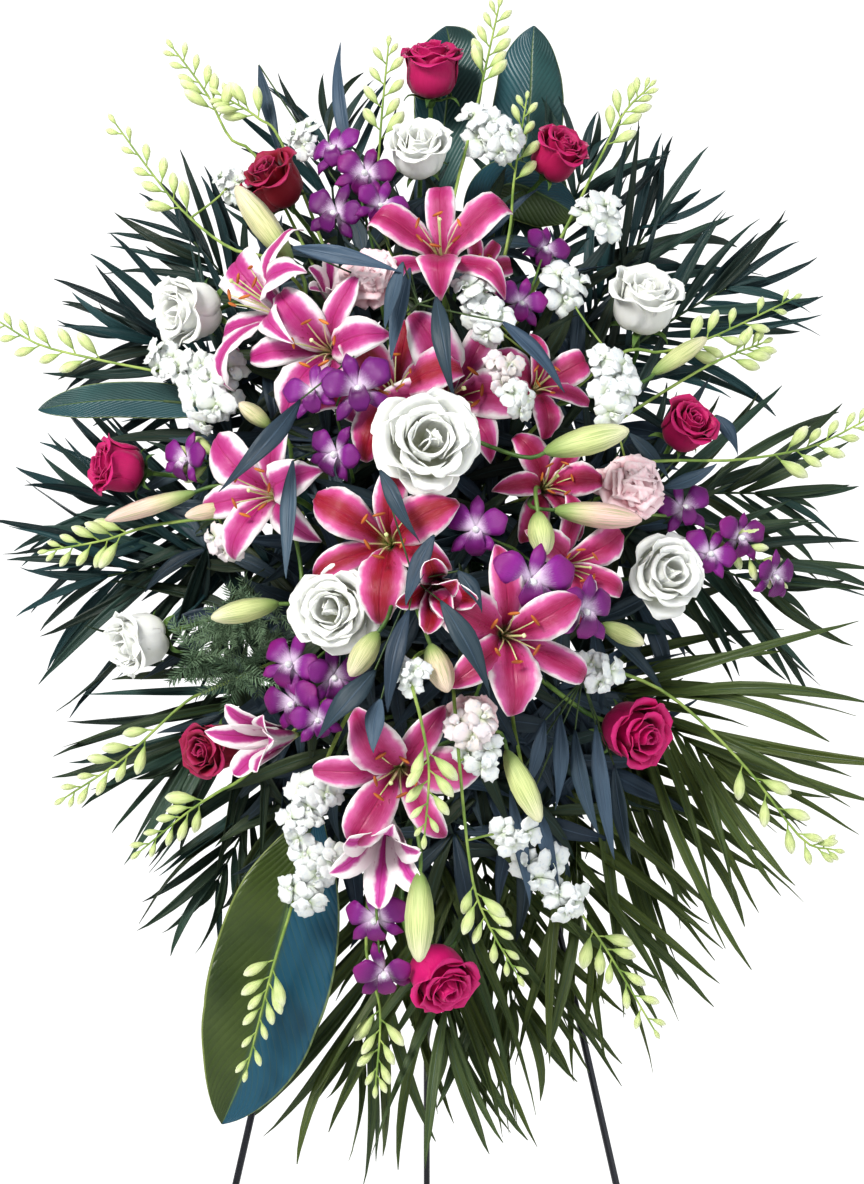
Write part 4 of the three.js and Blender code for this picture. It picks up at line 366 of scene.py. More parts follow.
finishes = {
    "red": makeRedPetal(),
    "white": makeWhitePetal(),
    "lily": makeLilyPetal(),
    "purple": makeOrchidPetal(),
    "whiteOrchid": makeWhiteOrchidPetal(),
    "carnation": makeCarnationPetal(),
    "lilyBud": makeBudFinish(
        "lily_bud", foot=(0.22, 0.33, 0.09), flank=(0.62, 0.68, 0.30), tip=(0.80, 0.78, 0.52),
        streak=(0.88, 0.52, 0.56),
    ),
    "orchidBud": makeBudFinish(
        "orchid_bud", foot=(0.34, 0.48, 0.13), flank=(0.66, 0.74, 0.34), tip=(0.88, 0.90, 0.64),
        streak=(0.45, 0.10, 0.45),
    ),
    "sepal": makeLeafFinish(
        "rose_sepal", dark=(0.03, 0.09, 0.02), light=(0.12, 0.22, 0.05), back=(0.16, 0.2, 0.06),
        stripes=6, roughness=0.5,
    ),
    "palm": makeLeafFinish(
        "palm_leaflet", dark=(0.004, 0.013, 0.015), light=(0.022, 0.070, 0.076), back=(0.105, 0.135, 0.012),
        stripes=9, roughness=0.4,
    ),
    "willow": makeLeafFinish(
        "willow_leaf", dark=(0.015, 0.030, 0.050), light=(0.074, 0.120, 0.180), back=(0.045, 0.070, 0.050),
        stripes=5, roughness=0.45,
    ),
    "fern": makeLeafFinish(
        "fern_needle", dark=(0.03, 0.07, 0.035), light=(0.20, 0.30, 0.19), back=(0.24, 0.32, 0.20),
        stripes=3, roughness=0.7,
    ),
    "broad": makeBroadFinish(),
    "stem": makeStalkFinish("flower_stem", (0.045, 0.11, 0.02), (0.16, 0.26, 0.06)),
    "orchidStem": makeStalkFinish("orchid_stem", (0.16, 0.26, 0.05), (0.36, 0.46, 0.12)),
    "darkStem": makeStalkFinish("palm_stem", (0.02, 0.05, 0.015), (0.08, 0.13, 0.04)),
    "pollen": makeStalkFinish("lily_anther", (0.30, 0.07, 0.01), (0.62, 0.20, 0.03)),
    "filament": makeStalkFinish("lily_filament", (0.56, 0.66, 0.26), (0.84, 0.80, 0.50)),
}
print("finishes:", len(finishes))


# The shapes that are made once and then copied; they are taken out of the scene at the end
masters = []


def chooseOnly(cage, chosen):
    for vertex in cage.verts:
        vertex.select_set(False)
    for vertex in chosen:
        vertex.select_set(True)
    cage.select_flush(True)


def arcSection(count, half):  # a shallow arc across a petal, which wraps its bud
    angles = [math.radians(half) * (2 * i / (count - 1) - 1) for i in range(count)]
    reach = math.sin(math.radians(half))
    return [(math.sin(a) / reach, (1 - math.cos(a)) / reach) for a in angles]


def grooveSection(count, rise, droop):  # a groove at the middle line, and edges that bend back
    places = [2 * i / (count - 1) - 1 for i in range(count)]
    return [(x, rise * abs(x) - droop * x * x) for x in places]


def addGrid(across, rowCount):
    deselectAll()
    bpy.ops.mesh.primitive_grid_add(
        x_subdivisions=across - 1, y_subdivisions=rowCount - 1, size=2, calc_uvs=True
    )
    return bpy.context.object


def addWall(blade, thick):
    wall = blade.modifiers.new("wall", "SOLIDIFY")
    wall.thickness = thick
    wall.offset = 0
    bpy.ops.object.modifier_apply(modifier="wall")


def addRipple(blade, strength, size):
    texture = bpy.data.textures.new(blade.name + "_ripple", "CLOUDS")
    texture.noise_scale = size
    texture.noise_depth = 1
    waves = blade.modifiers.new("ripple", "DISPLACE")
    waves.texture = texture
    waves.texture_coords = "LOCAL"
    waves.strength = strength
    waves.mid_level = 0.5
    waves.vertex_group = "rim"
    bpy.ops.object.modifier_apply(modifier="ripple")


# How far apart a line is read for its slope, a blade's least half width, where its twist is nought, and
# the rows at its foot over which its ripples grow
bladeRules = {"step": 0.02, "narrowest": 0.004, "untwisted": 0.3, "calmRows": 3}


# A petal or leaf: a flat grid whose columns take a cross-section, and whose rows are sized, turned and moved
def makeBlade(name, finish, plan):
    section, rowCount = plan["section"], plan["rows"]
    across = len(section)
    blade = addGrid(across, rowCount)
    blade.name = name
    bpy.ops.object.mode_set(mode="EDIT")
    cage = bmesh.from_edit_mesh(blade.data)
    columns = [[] for _ in range(across)]
    rows = [[] for _ in range(rowCount)]
    for vertex in cage.verts:
        columns[round((vertex.co.x + 1) / 2 * (across - 1))].append(vertex)
        rows[round((vertex.co.y + 1) / 2 * (rowCount - 1))].append(vertex)
    for column, (x, z) in zip(columns, section):
        chooseOnly(cage, column)
        bpy.ops.transform.translate(value=(x - column[0].co.x, 0, z))
    path = [Vector(point) for point in plan["path"]]
    ratio, step = plan.get("ratio", 1), bladeRules["step"]
    for i, row in enumerate(rows):
        share = i / (rowCount - 1)
        centre = (0, -1 + 2 * share, 0)
        radius, height = curveAt(path, share)
        slope = curveAt(path, min(share + step, 1)) - curveAt(path, max(share - step, 0))
        half = max(curveAt(plan["halves"], share), bladeRules["narrowest"])
        cup = curveAt(plan["cups"], share)
        chooseOnly(cage, row)
        bpy.ops.transform.resize(value=(half * ratio, 1, half * cup), center_override=centre)
        if plan.get("twist"):
            twist = math.radians(plan["twist"]) * (share - bladeRules["untwisted"])
            bpy.ops.transform.rotate(value=-twist, orient_axis="Y", center_override=centre)
        if ratio != 1:
            bpy.ops.transform.resize(value=(1 / ratio, 1, 1), center_override=centre)
        tilt = math.atan2(slope.y, slope.x)
        bpy.ops.transform.rotate(value=-tilt, orient_axis="X", center_override=centre)
        bpy.ops.transform.translate(value=(plan.get("swing", 0) * share * share, radius - centre[1], height))
    bpy.ops.object.mode_set(mode="OBJECT")
    rim = blade.vertex_groups.new(name="rim")
    for vertex in blade.data.vertices:
        edge = abs(2 * (vertex.index % across) / (across - 1) - 1)
        grown = min(1, vertex.index / across / bladeRules["calmRows"])
        rim.add([vertex.index], edge ** 2 * grown, "REPLACE")
    if plan.get("ripple"):
        addRipple(blade, plan["ripple"], plan["rippleSize"])
    addWall(blade, plan["thick"])
    blade.vertex_groups.clear()
    bpy.ops.object.shade_smooth()
    blade.data.materials.append(finish)
    masters.append(blade)
    return blade


# A bud, seed or knob: a ring of edges extruded up its axis and sized ring by ring
def makeTurned(name, finish, profile, sides, ribs=1.0):  # ribs below 1 draw in every second line
    deselectAll()
    bpy.ops.mesh.primitive_circle_add(vertices=sides, radius=profile[0][0], fill_type="NGON")
    bud = bpy.context.object
    bud.name = name
    bpy.ops.object.mode_set(mode="EDIT")
    bpy.ops.mesh.select_all(action="SELECT")
    bpy.ops.transform.translate(value=(0, 0, profile[0][1]))
    for (before, low), (radius, high) in zip(profile, profile[1:]):
        bpy.ops.mesh.extrude_region_move(TRANSFORM_OT_translate={"value": (0, 0, high - low)})
        size = radius / before
        bpy.ops.transform.resize(value=(size, size, 1), center_override=(0, 0, high))
    bpy.ops.mesh.select_all(action="SELECT")
    bpy.ops.mesh.normals_make_consistent(inside=False)
    cage = bmesh.from_edit_mesh(bud.data)
    if ribs != 1:
        step = 2 * math.pi / sides
        chooseOnly(cage, [v for v in cage.verts if round(math.atan2(v.co.y, v.co.x) / step) % 2 == 0])
        bpy.ops.transform.resize(value=(ribs, ribs, 1), center_override=(0, 0, 0))
    bpy.ops.object.mode_set(mode="OBJECT")
    low, high = profile[0][1], profile[-1][1]
    layer = bud.data.uv_layers.get("UVMap") or bud.data.uv_layers.new(name="UVMap")
    for loop in bud.data.loops:
        place = bud.data.vertices[loop.vertex_index].co
        turn = abs(math.atan2(place.y, place.x)) / math.pi
        layer.data[loop.index].uv = (turn, (place.z - low) / (high - low))
    bpy.ops.object.shade_smooth()
    bud.data.materials.append(finish)
    masters.append(bud)
    return bud


# Stems: smooth tubes along lines of points, each point with its own radius
def makeTubes(name, finish, lines):
    curve = bpy.data.curves.new(name, "CURVE")
    curve.dimensions = "3D"
    curve.bevel_depth = mm
    curve.bevel_resolution = 2
    curve.use_fill_caps = True
    for points, radii in lines:
        spline = curve.splines.new("POLY")
        spline.points.add(len(points) - 1)
        for place, point, radius in zip(spline.points, points, radii):
            place.co = (*point, 1)
            place.radius = radius
    tubes = bpy.data.objects.new(name, curve)
    bpy.context.scene.collection.objects.link(tubes)
    deselectAll()
    tubes.select_set(True)
    bpy.context.view_layer.objects.active = tubes
    bpy.ops.object.convert(target="MESH")
    tubes = bpy.context.object
    bpy.ops.object.shade_smooth()
    if not tubes.data.uv_layers:
        tubes.data.uv_layers.new(name="UVMap")
    tubes.data.materials.clear()
    tubes.data.materials.append(finish)
    return tubes


def smoothLine(points, low, high, count=12):
    line = [curveAt(points, i / (count - 1)) for i in range(count)]
    return line, [low + (high - low) * i / (count - 1) for i in range(count)]


def setTone(mesh, tone):  # how deep and how warm its colour is, and a chance
    shades = mesh.attributes.new("tone", "FLOAT_COLOR", "POINT")
    shades.data.foreach_set("color", (*tone, 1.0) * len(mesh.vertices))


def copyOf(master, matrix, tone, batch):
    mesh = master.data.copy()
    mesh.transform(matrix)
    setTone(mesh, tone)
    piece = bpy.data.objects.new(master.name, mesh)
    bpy.context.scene.collection.objects.link(piece)
    batch.append(piece)


def joinBatch(batch):
    deselectAll()
    for piece in batch:
        piece.select_set(True)
    bpy.context.view_layer.objects.active = batch[0]
    if len(batch) > 1:
        bpy.ops.object.join()
    return bpy.context.view_layer.objects.active


def finishPiece(name, batch, node):  # one object that takes the place of its CAD node
    whole = joinBatch(batch)
    whole.name = name
    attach(whole, "root")
    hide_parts(node)


# The foam's inside: half its width and height, and its two depths. Then how far out a stem bends that
# leaves by the front, a side or an end, and how deep a stem is that leaves by the front
foam = {"across": 0.0548, "up": 0.1148, "back": 0.004, "front": 0.0918}
leaving = {"front": 0.108, "side": 0.075, "end": 0.135, "deepest": 0.06, "favour": 0.012}


def rootOf(node):  # where a CAD stem ends in the foam, and the place where it has left
    inside = []
    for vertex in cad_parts[node].data.vertices:
        across, up, out = offEasel(vertex.co)
        if abs(across) < foam["across"] and abs(up) < foam["up"] and foam["back"] < out < foam["front"]:
            inside.append(vertex.co.copy())
    root = sum(inside, Vector()) / len(inside)
    across, up, out = offEasel(root)
    toSide, toEnd, toFront = foam["across"] - abs(across), foam["up"] - abs(up), foam["front"] - out
    if out > leaving["deepest"] and toSide > 0 and toFront < min(toSide, toEnd) + leaving["favour"]:
        return root, onEasel(across, up, leaving["front"])
    if toSide < toEnd:
        return root, onEasel(math.copysign(leaving["side"], across), up, out)
    return root, onEasel(across, math.copysign(leaving["end"], up), out)


def stemTo(node, end, arrive, low, high):  # from the foam to a flower, which it reaches along its axis
    root, leave = rootOf(node)
    reach = (end - leave).length
    before = end - arrive * reach * 0.22
    return smoothLine([root, leave, leave.lerp(before, 0.5), before, end], low, high, 14)


def branchTo(fork, end, way, near, low, high):  # a side stem, which reaches its flower along the way
    return smoothLine([fork, fork.lerp(end - way * 0.04, 0.6), end - way * near, end], low, high)


def vary(share):
    return 1 + random.uniform(-share, share)


# Roses. The tone is how bright and how crimson each is, open is how far, the tilt lifts the drawn bloom
# above the CAD one and the scale sizes it against that
roses = {
    "rose_red_top": {
        "at": [6, 488, 78], "turn": 5, "lift": 52, "size": 68, "tone": (0.65, 0.15), "open": 0.1,
        "tilt": 14,
    },
    "rose_red_upper_left": {
        "at": [-151, 377, 128], "turn": -42, "lift": 34, "size": 64, "tone": (0.35, 1.0), "open": 0.35,
        "tilt": 8,
    },
    "rose_red_upper_right": {
        "at": [131, 404, 100], "turn": 40, "lift": 28, "size": 60, "tone": (0.6, 0.35), "open": 0.1,
        "tilt": 14,
    },
    "rose_red_left": {
        "at": [-306, 92, 118], "turn": -66, "lift": 8, "size": 62, "tone": (0.6, 0.1), "open": 0.05,
    },
    "rose_red_right": {
        "at": [260, 132, 150], "turn": 30, "lift": 30, "size": 56, "tone": (0.6, 0.2), "open": 0.2,
    },
    "rose_red_lower_right": {
        "at": [207, -172, 178], "turn": 38, "lift": -14, "size": 64, "tone": (0.85, 0.1), "open": 0.35,
    },
    "rose_pink_bottom": {
        "at": [13, -415, 140], "turn": 28, "lift": -34, "size": 66, "tone": (1.0, 0.0), "open": 0.25,
    },
    "rose_red_lower_left": {
        "at": [-213, -188, 122], "turn": -42, "lift": -6, "size": 58, "tone": (0.35, 0.8), "open": 0.35,
    },
    "rose_white_upper_left": {
        "at": [-236, 249, 132], "turn": -48, "lift": -8, "size": 72, "tone": (0.3, 0.0), "open": 0.35,
    },
    "rose_white_upper_right": {
        "at": [219, 257, 120], "turn": 12, "lift": 48, "size": 74, "tone": (0.3, 0.0), "open": 0.35,
    },
    "rose_white_top": {
        "at": [-6, 409, 150], "turn": 0, "lift": 42, "size": 68, "tone": (0.3, 0.1), "open": 0.5,
        "scale": 0.92,
    },
    "rose_white_open": {
        "at": [3, 119, 318], "turn": 8, "lift": 6, "size": 88, "tone": (0.3, 0.25), "open": 1.0,
        "scale": 0.86,
    },
    "rose_white_centre_left": {
        "at": [-93, -50, 268], "turn": -12, "lift": 2, "size": 76, "tone": (0.3, 0.1), "open": 0.7,
        "scale": 0.84,
    },
    "rose_white_right": {
        "at": [241, -13, 160], "turn": 22, "lift": 4, "size": 74, "tone": (0.3, 0.0), "open": 0.9,
        "scale": 0.84,
    },
    "rose_white_lower_left": {
        "at": [-286, -81, 118], "turn": -52, "lift": -14, "size": 66, "tone": (0.3, 0.1), "open": 0.35,
    },
}

# Each whorl of a rose for a bloom one wide: how many petals, where the first stands, the line of their
# middle, and their half widths. The last one is for the widest roses alone
roseWhorls = [
    {
        "count": 3,
        "roll": 0,
        "path": [(0.0, 0.1), (0.05, 0.34), (0.07, 0.6), (0.045, 0.8)],
        "halves": [0.05, 0.1, 0.11, 0.05],
    },
    {
        "count": 3,
        "roll": 40,
        "path": [(0.02, 0.08), (0.11, 0.3), (0.135, 0.58), (0.11, 0.8), (0.12, 0.83)],
        "halves": [0.05, 0.14, 0.17, 0.13, 0.05],
    },
    {
        "count": 4,
        "roll": 15,
        "path": [(0.03, 0.05), (0.18, 0.25), (0.21, 0.52), (0.19, 0.75), (0.22, 0.8)],
        "halves": [0.05, 0.19, 0.23, 0.19, 0.06],
    },
    {
        "count": 5,
        "roll": 52,
        "path": [(0.04, 0.02), (0.26, 0.18), (0.3, 0.45), (0.28, 0.67), (0.33, 0.75), (0.37, 0.72)],
        "halves": [0.06, 0.24, 0.29, 0.27, 0.2, 0.06],
    },
    {
        "count": 5,
        "roll": 8,
        "path": [(0.05, 0.0), (0.32, 0.11), (0.375, 0.36), (0.37, 0.58), (0.425, 0.69), (0.49, 0.66)],
        "halves": [0.07, 0.27, 0.345, 0.335, 0.25, 0.06],
    },
    {
        "count": 5,
        "roll": 30,
        "path": [(0.05, -0.02), (0.33, 0.06), (0.42, 0.24), (0.46, 0.42), (0.54, 0.5), (0.61, 0.45)],
        "halves": [0.07, 0.28, 0.34, 0.33, 0.25, 0.07],
    },
]

# How far open a rose with the last whorl is, the whorl that a white one lacks, and how far behind its middle
# a bloom's seat and its stem's end lie
rosePlan = {"flareFrom": 0.6, "skippedInWhite": 1, "sepals": 5, "headRoll": 17, "seat": 0.4, "stemEnd": 0.54}


def hugCups(path, halves, count, section):  # how far each row wraps round the bloom's axis
    cups = []
    for i in range(count):
        share = i / (count - 1)
        radius = max(curveAt([Vector(p) for p in path], share)[0], 0.04)
        half = min(curveAt(halves, share), radius * 0.98)
        depth = radius - math.sqrt(radius * radius - half * half)
        lip = 1 - 1.15 * max(0, (share - 0.72) / 0.28)
        cups.append(depth / half / max(z for _, z in section) * lip)
    return cups


def makeRosePetals(colour):
    section, rowCount = arcSection(9, 60), 12
    made = []
    for k, whorl in enumerate(roseWhorls):
        made.append([makeBlade(f"rose_petal_{colour}_{k}_{j}", finishes[colour], {
            "section": section,
            "rows": rowCount,
            "path": [(r * (1 + 0.05 * j), h * (1 - 0.04 * j)) for r, h in whorl["path"]],
            "halves": whorl["halves"],
            "cups": hugCups(whorl["path"], whorl["halves"], rowCount, section),
            "ripple": (0.07 + 0.04 * j) * (1.3 if colour == "white" else 1),
            "rippleSize": 0.2 + 0.12 * j,
            "thick": 0.012,
            "swing": 0.03 if j else -0.02,
        }) for j in range(2)])
    return made


rosePetals = {"red": makeRosePetals("red"), "white": makeRosePetals("white")}
roseSepal = makeBlade("rose_sepal_blade", finishes["sepal"], {
    "section": grooveSection(5, 0.5, 0.2),
    "rows": 8,
    "path": [(0.03, -0.03), (0.14, -0.035), (0.27, 0.03), (0.38, 0.02), (0.44, -0.06)],
    "halves": [0.045, 0.055, 0.05, 0.03, 0.004],
    "cups": [1, 1, 0.8, 0.6],
    "thick": 0.012,
})
cupProfile = [(0.035, -0.16), (0.06, -0.12), (0.085, -0.05), (0.08, 0.01), (0.04, 0.05)]
roseCup = makeTurned("rose_cup", finishes["sepal"], cupProfile, 12)


def makeRose(node):
    plan = roses[node]
    opened, (bright, crimson) = plan["open"], plan["tone"]
    size = plan["size"] * plan.get("scale", 1) * mm
    axis = facing(plan["turn"], plan["lift"] + plan.get("tilt", 0))
    head = headMatrix(seen(plan["at"]) - axis * size * rosePlan["seat"], axis, rosePlan["headRoll"], size)
    colour = "white" if "white" in node else "red"
    loose = 1 + 0.8 * opened
    batch = []
    for k, whorl in enumerate(roseWhorls):
        if colour == "white" and k == rosePlan["skippedInWhite"]:
            continue
        if k == len(roseWhorls) - 1 and opened <= rosePlan["flareFrom"]:
            continue
        for i in range(whorl["count"]):
            angle = math.radians(whorl["roll"] + 360 * i / whorl["count"] + random.uniform(-9, 9) * loose)
            lean = opened * (k - 1.5) * 3.4 + random.uniform(-3, 3) * loose
            swing = Matrix.Rotation(angle, 4, "Z") @ Matrix.Rotation(math.radians(-lean), 4, "X")
            tall = Matrix.Diagonal((vary(0.08) + 0.05 * opened, 1.0, vary(0.06) - opened * 0.02 * k, 1.0))
            kind = rosePetals[colour][k][random.randrange(2)]
            # Inner whorls get a lower depth, so their red petals are darker: painted shade inside the bloom;
            # the rest of the spread is random
            depth = clamp(bright + random.uniform(-0.12, 0.12) - 0.05 * (3 - k))
            copyOf(kind, head @ swing @ tall, (depth, crimson, random.random()), batch)
    for i in range(rosePlan["sepals"]):
        swing = Matrix.Rotation(math.radians(72 * i + random.uniform(-12, 12)), 4, "Z")
        copyOf(roseSepal, head @ swing @ Matrix.Scale(vary(0.15), 4), (random.random(), 0.2, 0.5), batch)
    copyOf(roseCup, head, (0.4, 0.2, 0.5), batch)
    seat = seen(plan["at"]) - axis * size * rosePlan["stemEnd"]
    batch.append(makeTubes(node + "_stem", finishes["stem"], [stemTo(node, seat, axis, 2.8, 2.4)]))
    finishPiece(node + "_bloom", batch, node)


for node in roses:
    makeRose(node)
print("roses:", len(roses))


# Lilies: open flowers, half-open trumpets and buds. The tone is how deep and how red each flower is, pink
# is each bud's share of that colour, and trumpetSize draws the trumpets larger than the CAD ones
lilies = {
    "lily_stem_top": {
        "open": [
            {"at": [14, 319, 226], "turn": -4, "lift": 34, "roll": 30, "size": 80, "tone": (0.85, 0.1)},
            {"at": [56, 292, 176], "turn": 30, "lift": 20, "roll": 0, "size": 42, "tone": (0.9, 0.4)},
        ],
        "trumpets": [],
        "buds": [],
    },
    "lily_stem_upper_left": {
        "open": [
            {"at": [-168, 262, 214], "turn": -58, "lift": 26, "roll": 20, "size": 84, "tone": (0.3, 0.1)},
            {"at": [-106, 214, 246], "turn": -16, "lift": 4, "roll": 0, "size": 82, "tone": (0.5, 0.1)},
        ],
        "trumpets": [
            {"at": [-92, 280, 186], "turn": 8, "lift": 30, "roll": 30, "size": 44, "tone": (0.15, 0.0)},
        ],
        "buds": [{"from": [-134, 297, 196], "to": [-190, 374, 206], "radius": 14, "pink": 0.25}],
    },
    "lily_stem_centre": {
        "open": [
            {"at": [-34, 178, 250], "turn": -6, "lift": 22, "roll": 20, "size": 74, "tone": (0.95, 0.9)},
            {"at": [30, 168, 222], "turn": 12, "lift": 10, "roll": 0, "size": 92, "tone": (0.6, 0.3)},
            {"at": [117, 178, 214], "turn": 20, "lift": 14, "roll": 30, "size": 58, "tone": (0.9, 0.2)},
        ],
        "trumpets": [],
        "buds": [
            {"from": [118, 108, 262], "to": [203, 130, 272], "radius": 14, "pink": 0.0},
            {"from": [226, 186, 172], "to": [281, 222, 168], "radius": 10, "pink": 0.1},
        ],
    },
    "lily_stem_left": {
        "open": [
            {"at": [-164, 66, 226], "turn": -24, "lift": 2, "roll": 14, "size": 80, "tone": (0.5, 0.1)},
        ],
        "trumpets": [],
        "buds": [
            {"from": [-147, -43, 206], "to": [-215, -58, 214], "radius": 12, "pink": 0.05},
            {"from": [-230, 68, 172], "to": [-321, 40, 158], "radius": 10, "pink": 0.7},
            {"from": [-155, 133, 214], "to": [-187, 157, 218], "radius": 9, "pink": 0.3},
            {"from": [-196, 54, 190], "to": [-241, 44, 196], "radius": 9, "pink": 0.6},
        ],
    },
    "lily_stem_front": {
        "open": [
            {"at": [-40, 22, 286], "turn": -6, "lift": 8, "roll": 30, "size": 82, "tone": (0.95, 0.9)},
            {"at": [86, -76, 300], "turn": 10, "lift": 0, "roll": 30, "size": 84, "tone": (0.85, 0.35)},
        ],
        "trumpets": [
            {"at": [14, -34, 330], "turn": 4, "lift": -12, "roll": 0, "size": 38, "tone": (1.0, 1.0)},
        ],
        "trumpetSize": 1.55,
        "buds": [
            {"from": [-48, -72, 304], "to": [-76, -116, 312], "radius": 12, "pink": 0.2},
            {"from": [4, -84, 316], "to": [22, -132, 326], "radius": 13, "pink": 0.5},
        ],
    },
    "lily_stem_right": {
        "open": [
            {"at": [126, 78, 206], "turn": 16, "lift": 12, "roll": 0, "size": 62, "tone": (0.9, 0.5)},
            {"at": [148, -6, 226], "turn": 26, "lift": 0, "roll": 30, "size": 66, "tone": (0.85, 0.3)},
        ],
        "trumpets": [],
        "buds": [
            {"from": [112, 48, 262], "to": [118, 4, 276], "radius": 13, "pink": 0.0},
            {"from": [128, 50, 242], "to": [216, 40, 240], "radius": 13, "pink": 0.8},
            {"from": [176, -64, 222], "to": [218, -84, 226], "radius": 10, "pink": 0.05},
        ],
    },
    "lily_stem_low": {
        "open": [
            {"at": [-30, -214, 256], "turn": -4, "lift": -6, "roll": 0, "size": 82, "tone": (0.75, 0.2)},
        ],
        "trumpets": [
            {"at": [-46, -292, 232], "turn": -6, "lift": -24, "roll": 20, "size": 46, "tone": (0.0, 0.0)},
            {"at": [-168, -182, 186], "turn": -34, "lift": -4, "roll": 0, "size": 40, "tone": (0.35, 0.0)},
        ],
        "trumpetSize": 1.65,
        "buds": [
            {"from": [80, -190, 262], "to": [114, -262, 268], "radius": 13, "pink": 0.0},
            {"from": [-6, -312, 240], "to": [-7, -402, 246], "radius": 14, "pink": 0.0},
        ],
    },
}

# How deep and how red each open flower is, and then each trumpet and each bud: pink, or green
# A lily's petals for a flower one in radius. A bend moves a point of the path across or up from one of the
# three copies to the next, a ripple's size grows with them, and the swing leans them left and right
lilyShapes = {
    "outer": {
        "section": grooveSection(9, 0.34, 0.3),
        "rows": 16,
        "path": [
            (0.03, -0.04), (0.1, 0.14), (0.2, 0.33), (0.36, 0.48),
            (0.56, 0.57), (0.76, 0.57), (0.91, 0.46), (0.97, 0.31),
        ],
        "bends": {3: (0, -1), 5: (0, 1)},
        "halves": [0.03, 0.075, 0.125, 0.175, 0.19, 0.155, 0.08, 0.006],
        "cups": [2.2, 1.8, 1.4, 1.0, 0.9, 0.8, 0.8, 0.6],
        "ripple": 0.07,
        "rippleSize": (0.16, 0.06),
        "swing": 0.05,
    },
    "inner": {
        "section": grooveSection(9, 0.36, 0.34),
        "rows": 16,
        "path": [
            (0.03, -0.02), (0.09, 0.18), (0.18, 0.4), (0.34, 0.57),
            (0.54, 0.68), (0.74, 0.69), (0.89, 0.58), (0.95, 0.43),
        ],
        "bends": {3: (0, -1), 5: (0, 1)},
        "halves": [0.03, 0.09, 0.17, 0.25, 0.275, 0.22, 0.115, 0.008],
        "cups": [2.2, 1.8, 1.4, 1.0, 0.9, 0.9, 0.9, 0.6],
        "ripple": 0.13,
        "rippleSize": (0.13, 0.05),
        "swing": -0.05,
    },
    "trumpet_outer": {
        "section": arcSection(7, 46),
        "rows": 14,
        "path": [
            (0.03, -0.04), (0.1, 0.16), (0.17, 0.42), (0.25, 0.72), (0.34, 0.96), (0.48, 1.14), (0.6, 1.2),
        ],
        "bends": {6: (1, 0)},
        "halves": [0.03, 0.09, 0.15, 0.2, 0.19, 0.13, 0.01],
        "cups": [1.2, 1.2, 1.2, 1, 0.8, 0.4],
        "ripple": 0.05,
        "rippleSize": (0.2, 0.05),
        "swing": 0.06,
    },
    "trumpet_inner": {
        "section": arcSection(7, 46),
        "rows": 14,
        "path": [
            (0.02, -0.02), (0.07, 0.18), (0.12, 0.44), (0.18, 0.74), (0.24, 0.98), (0.36, 1.14), (0.42, 1.2),
        ],
        "bends": {6: (1, 0)},
        "halves": [0.03, 0.09, 0.15, 0.2, 0.2, 0.14, 0.012],
        "cups": [1.4, 1.4, 1.3, 1.1, 0.8, 0.4],
        "ripple": 0.08,
        "rippleSize": (0.18, 0),
        "swing": -0.06,
    },
}


def makeLilyPetals(kind):
    shape = lilyShapes[kind]
    made = []
    for j in range(3):
        path = list(shape["path"])
        for i, (across, up) in shape["bends"].items():
            path[i] = (path[i][0] + across * 0.05 * (j - 1), path[i][1] + up * 0.05 * (j - 1))
        least, growth = shape["rippleSize"]
        made.append(makeBlade(f"lily_{kind}_{j}", finishes["lily"], {
            **shape,
            "path": path,
            "rippleSize": least + growth * j,
            "thick": 0.012,
            "swing": shape["swing"] * (j - 1),
        }))
    return made


lilyPetals = {kind: makeLilyPetals(kind) for kind in lilyShapes}
antherProfile = [(0.006, -0.075), (0.016, -0.05), (0.021, 0.0), (0.017, 0.05), (0.006, 0.075)]
stigmaProfile = [(0.012, -0.05), (0.016, -0.02), (0.03, 0.0), (0.02, 0.02), (0.004, 0.026)]
budProfile = [
    (0.16, 0.0), (0.42, 0.06), (0.68, 0.17), (0.88, 0.32), (1.0, 0.5), (0.93, 0.68), (0.7, 0.84),
    (0.4, 0.95), (0.12, 1.0),
]
lilyAnther = makeTurned("lily_anther_pod", finishes["pollen"], antherProfile, 8)
lilyStigma = makeTurned("lily_stigma", finishes["filament"], stigmaProfile, 9, 0.86)
lilyBud = makeTurned("lily_bud_pod", finishes["lilyBud"], budProfile, 12, 0.8)


def addLilyStamens(head, batch):
    lines = []
    for i in range(6):
        angle = math.radians(60 * i + random.uniform(-14, 14))
        reach = 0.25 * vary(0.15)
        way = Vector((math.cos(angle), math.sin(angle), 0))
        points = [
            way * 0.02 + Vector((0, 0, 0.08)),
            way * 0.09 + Vector((0, 0, 0.42)),
            way * reach * 0.8 + Vector((0, 0, 0.7)),
            way * reach + Vector((0, 0, 0.79)),
        ]
        lines.append(smoothLine([head @ p for p in points], 0.9, 0.55, 8))
        lean = Matrix.Rotation(math.radians(70 + random.uniform(-20, 20)), 4, "X")
        across = Matrix.Rotation(angle, 4, "Z") @ lean
        copyOf(lilyAnther, head @ Matrix.Translation(points[-1]) @ across, (random.random(), 0, 0), batch)
    tip = Vector((random.uniform(-0.06, 0.06), random.uniform(-0.06, 0.06), 0.92))
    style = [head @ point for point in (Vector((0, 0, 0.06)), Vector((0, 0, 0.5)), tip)]
    lines.append(smoothLine(style, 1.3, 1.0, 8))
    copyOf(lilyStigma, head @ Matrix.Translation(tip), (0.2, 0, 0), batch)
    batch.append(makeTubes("lily_filaments", finishes["filament"], lines))


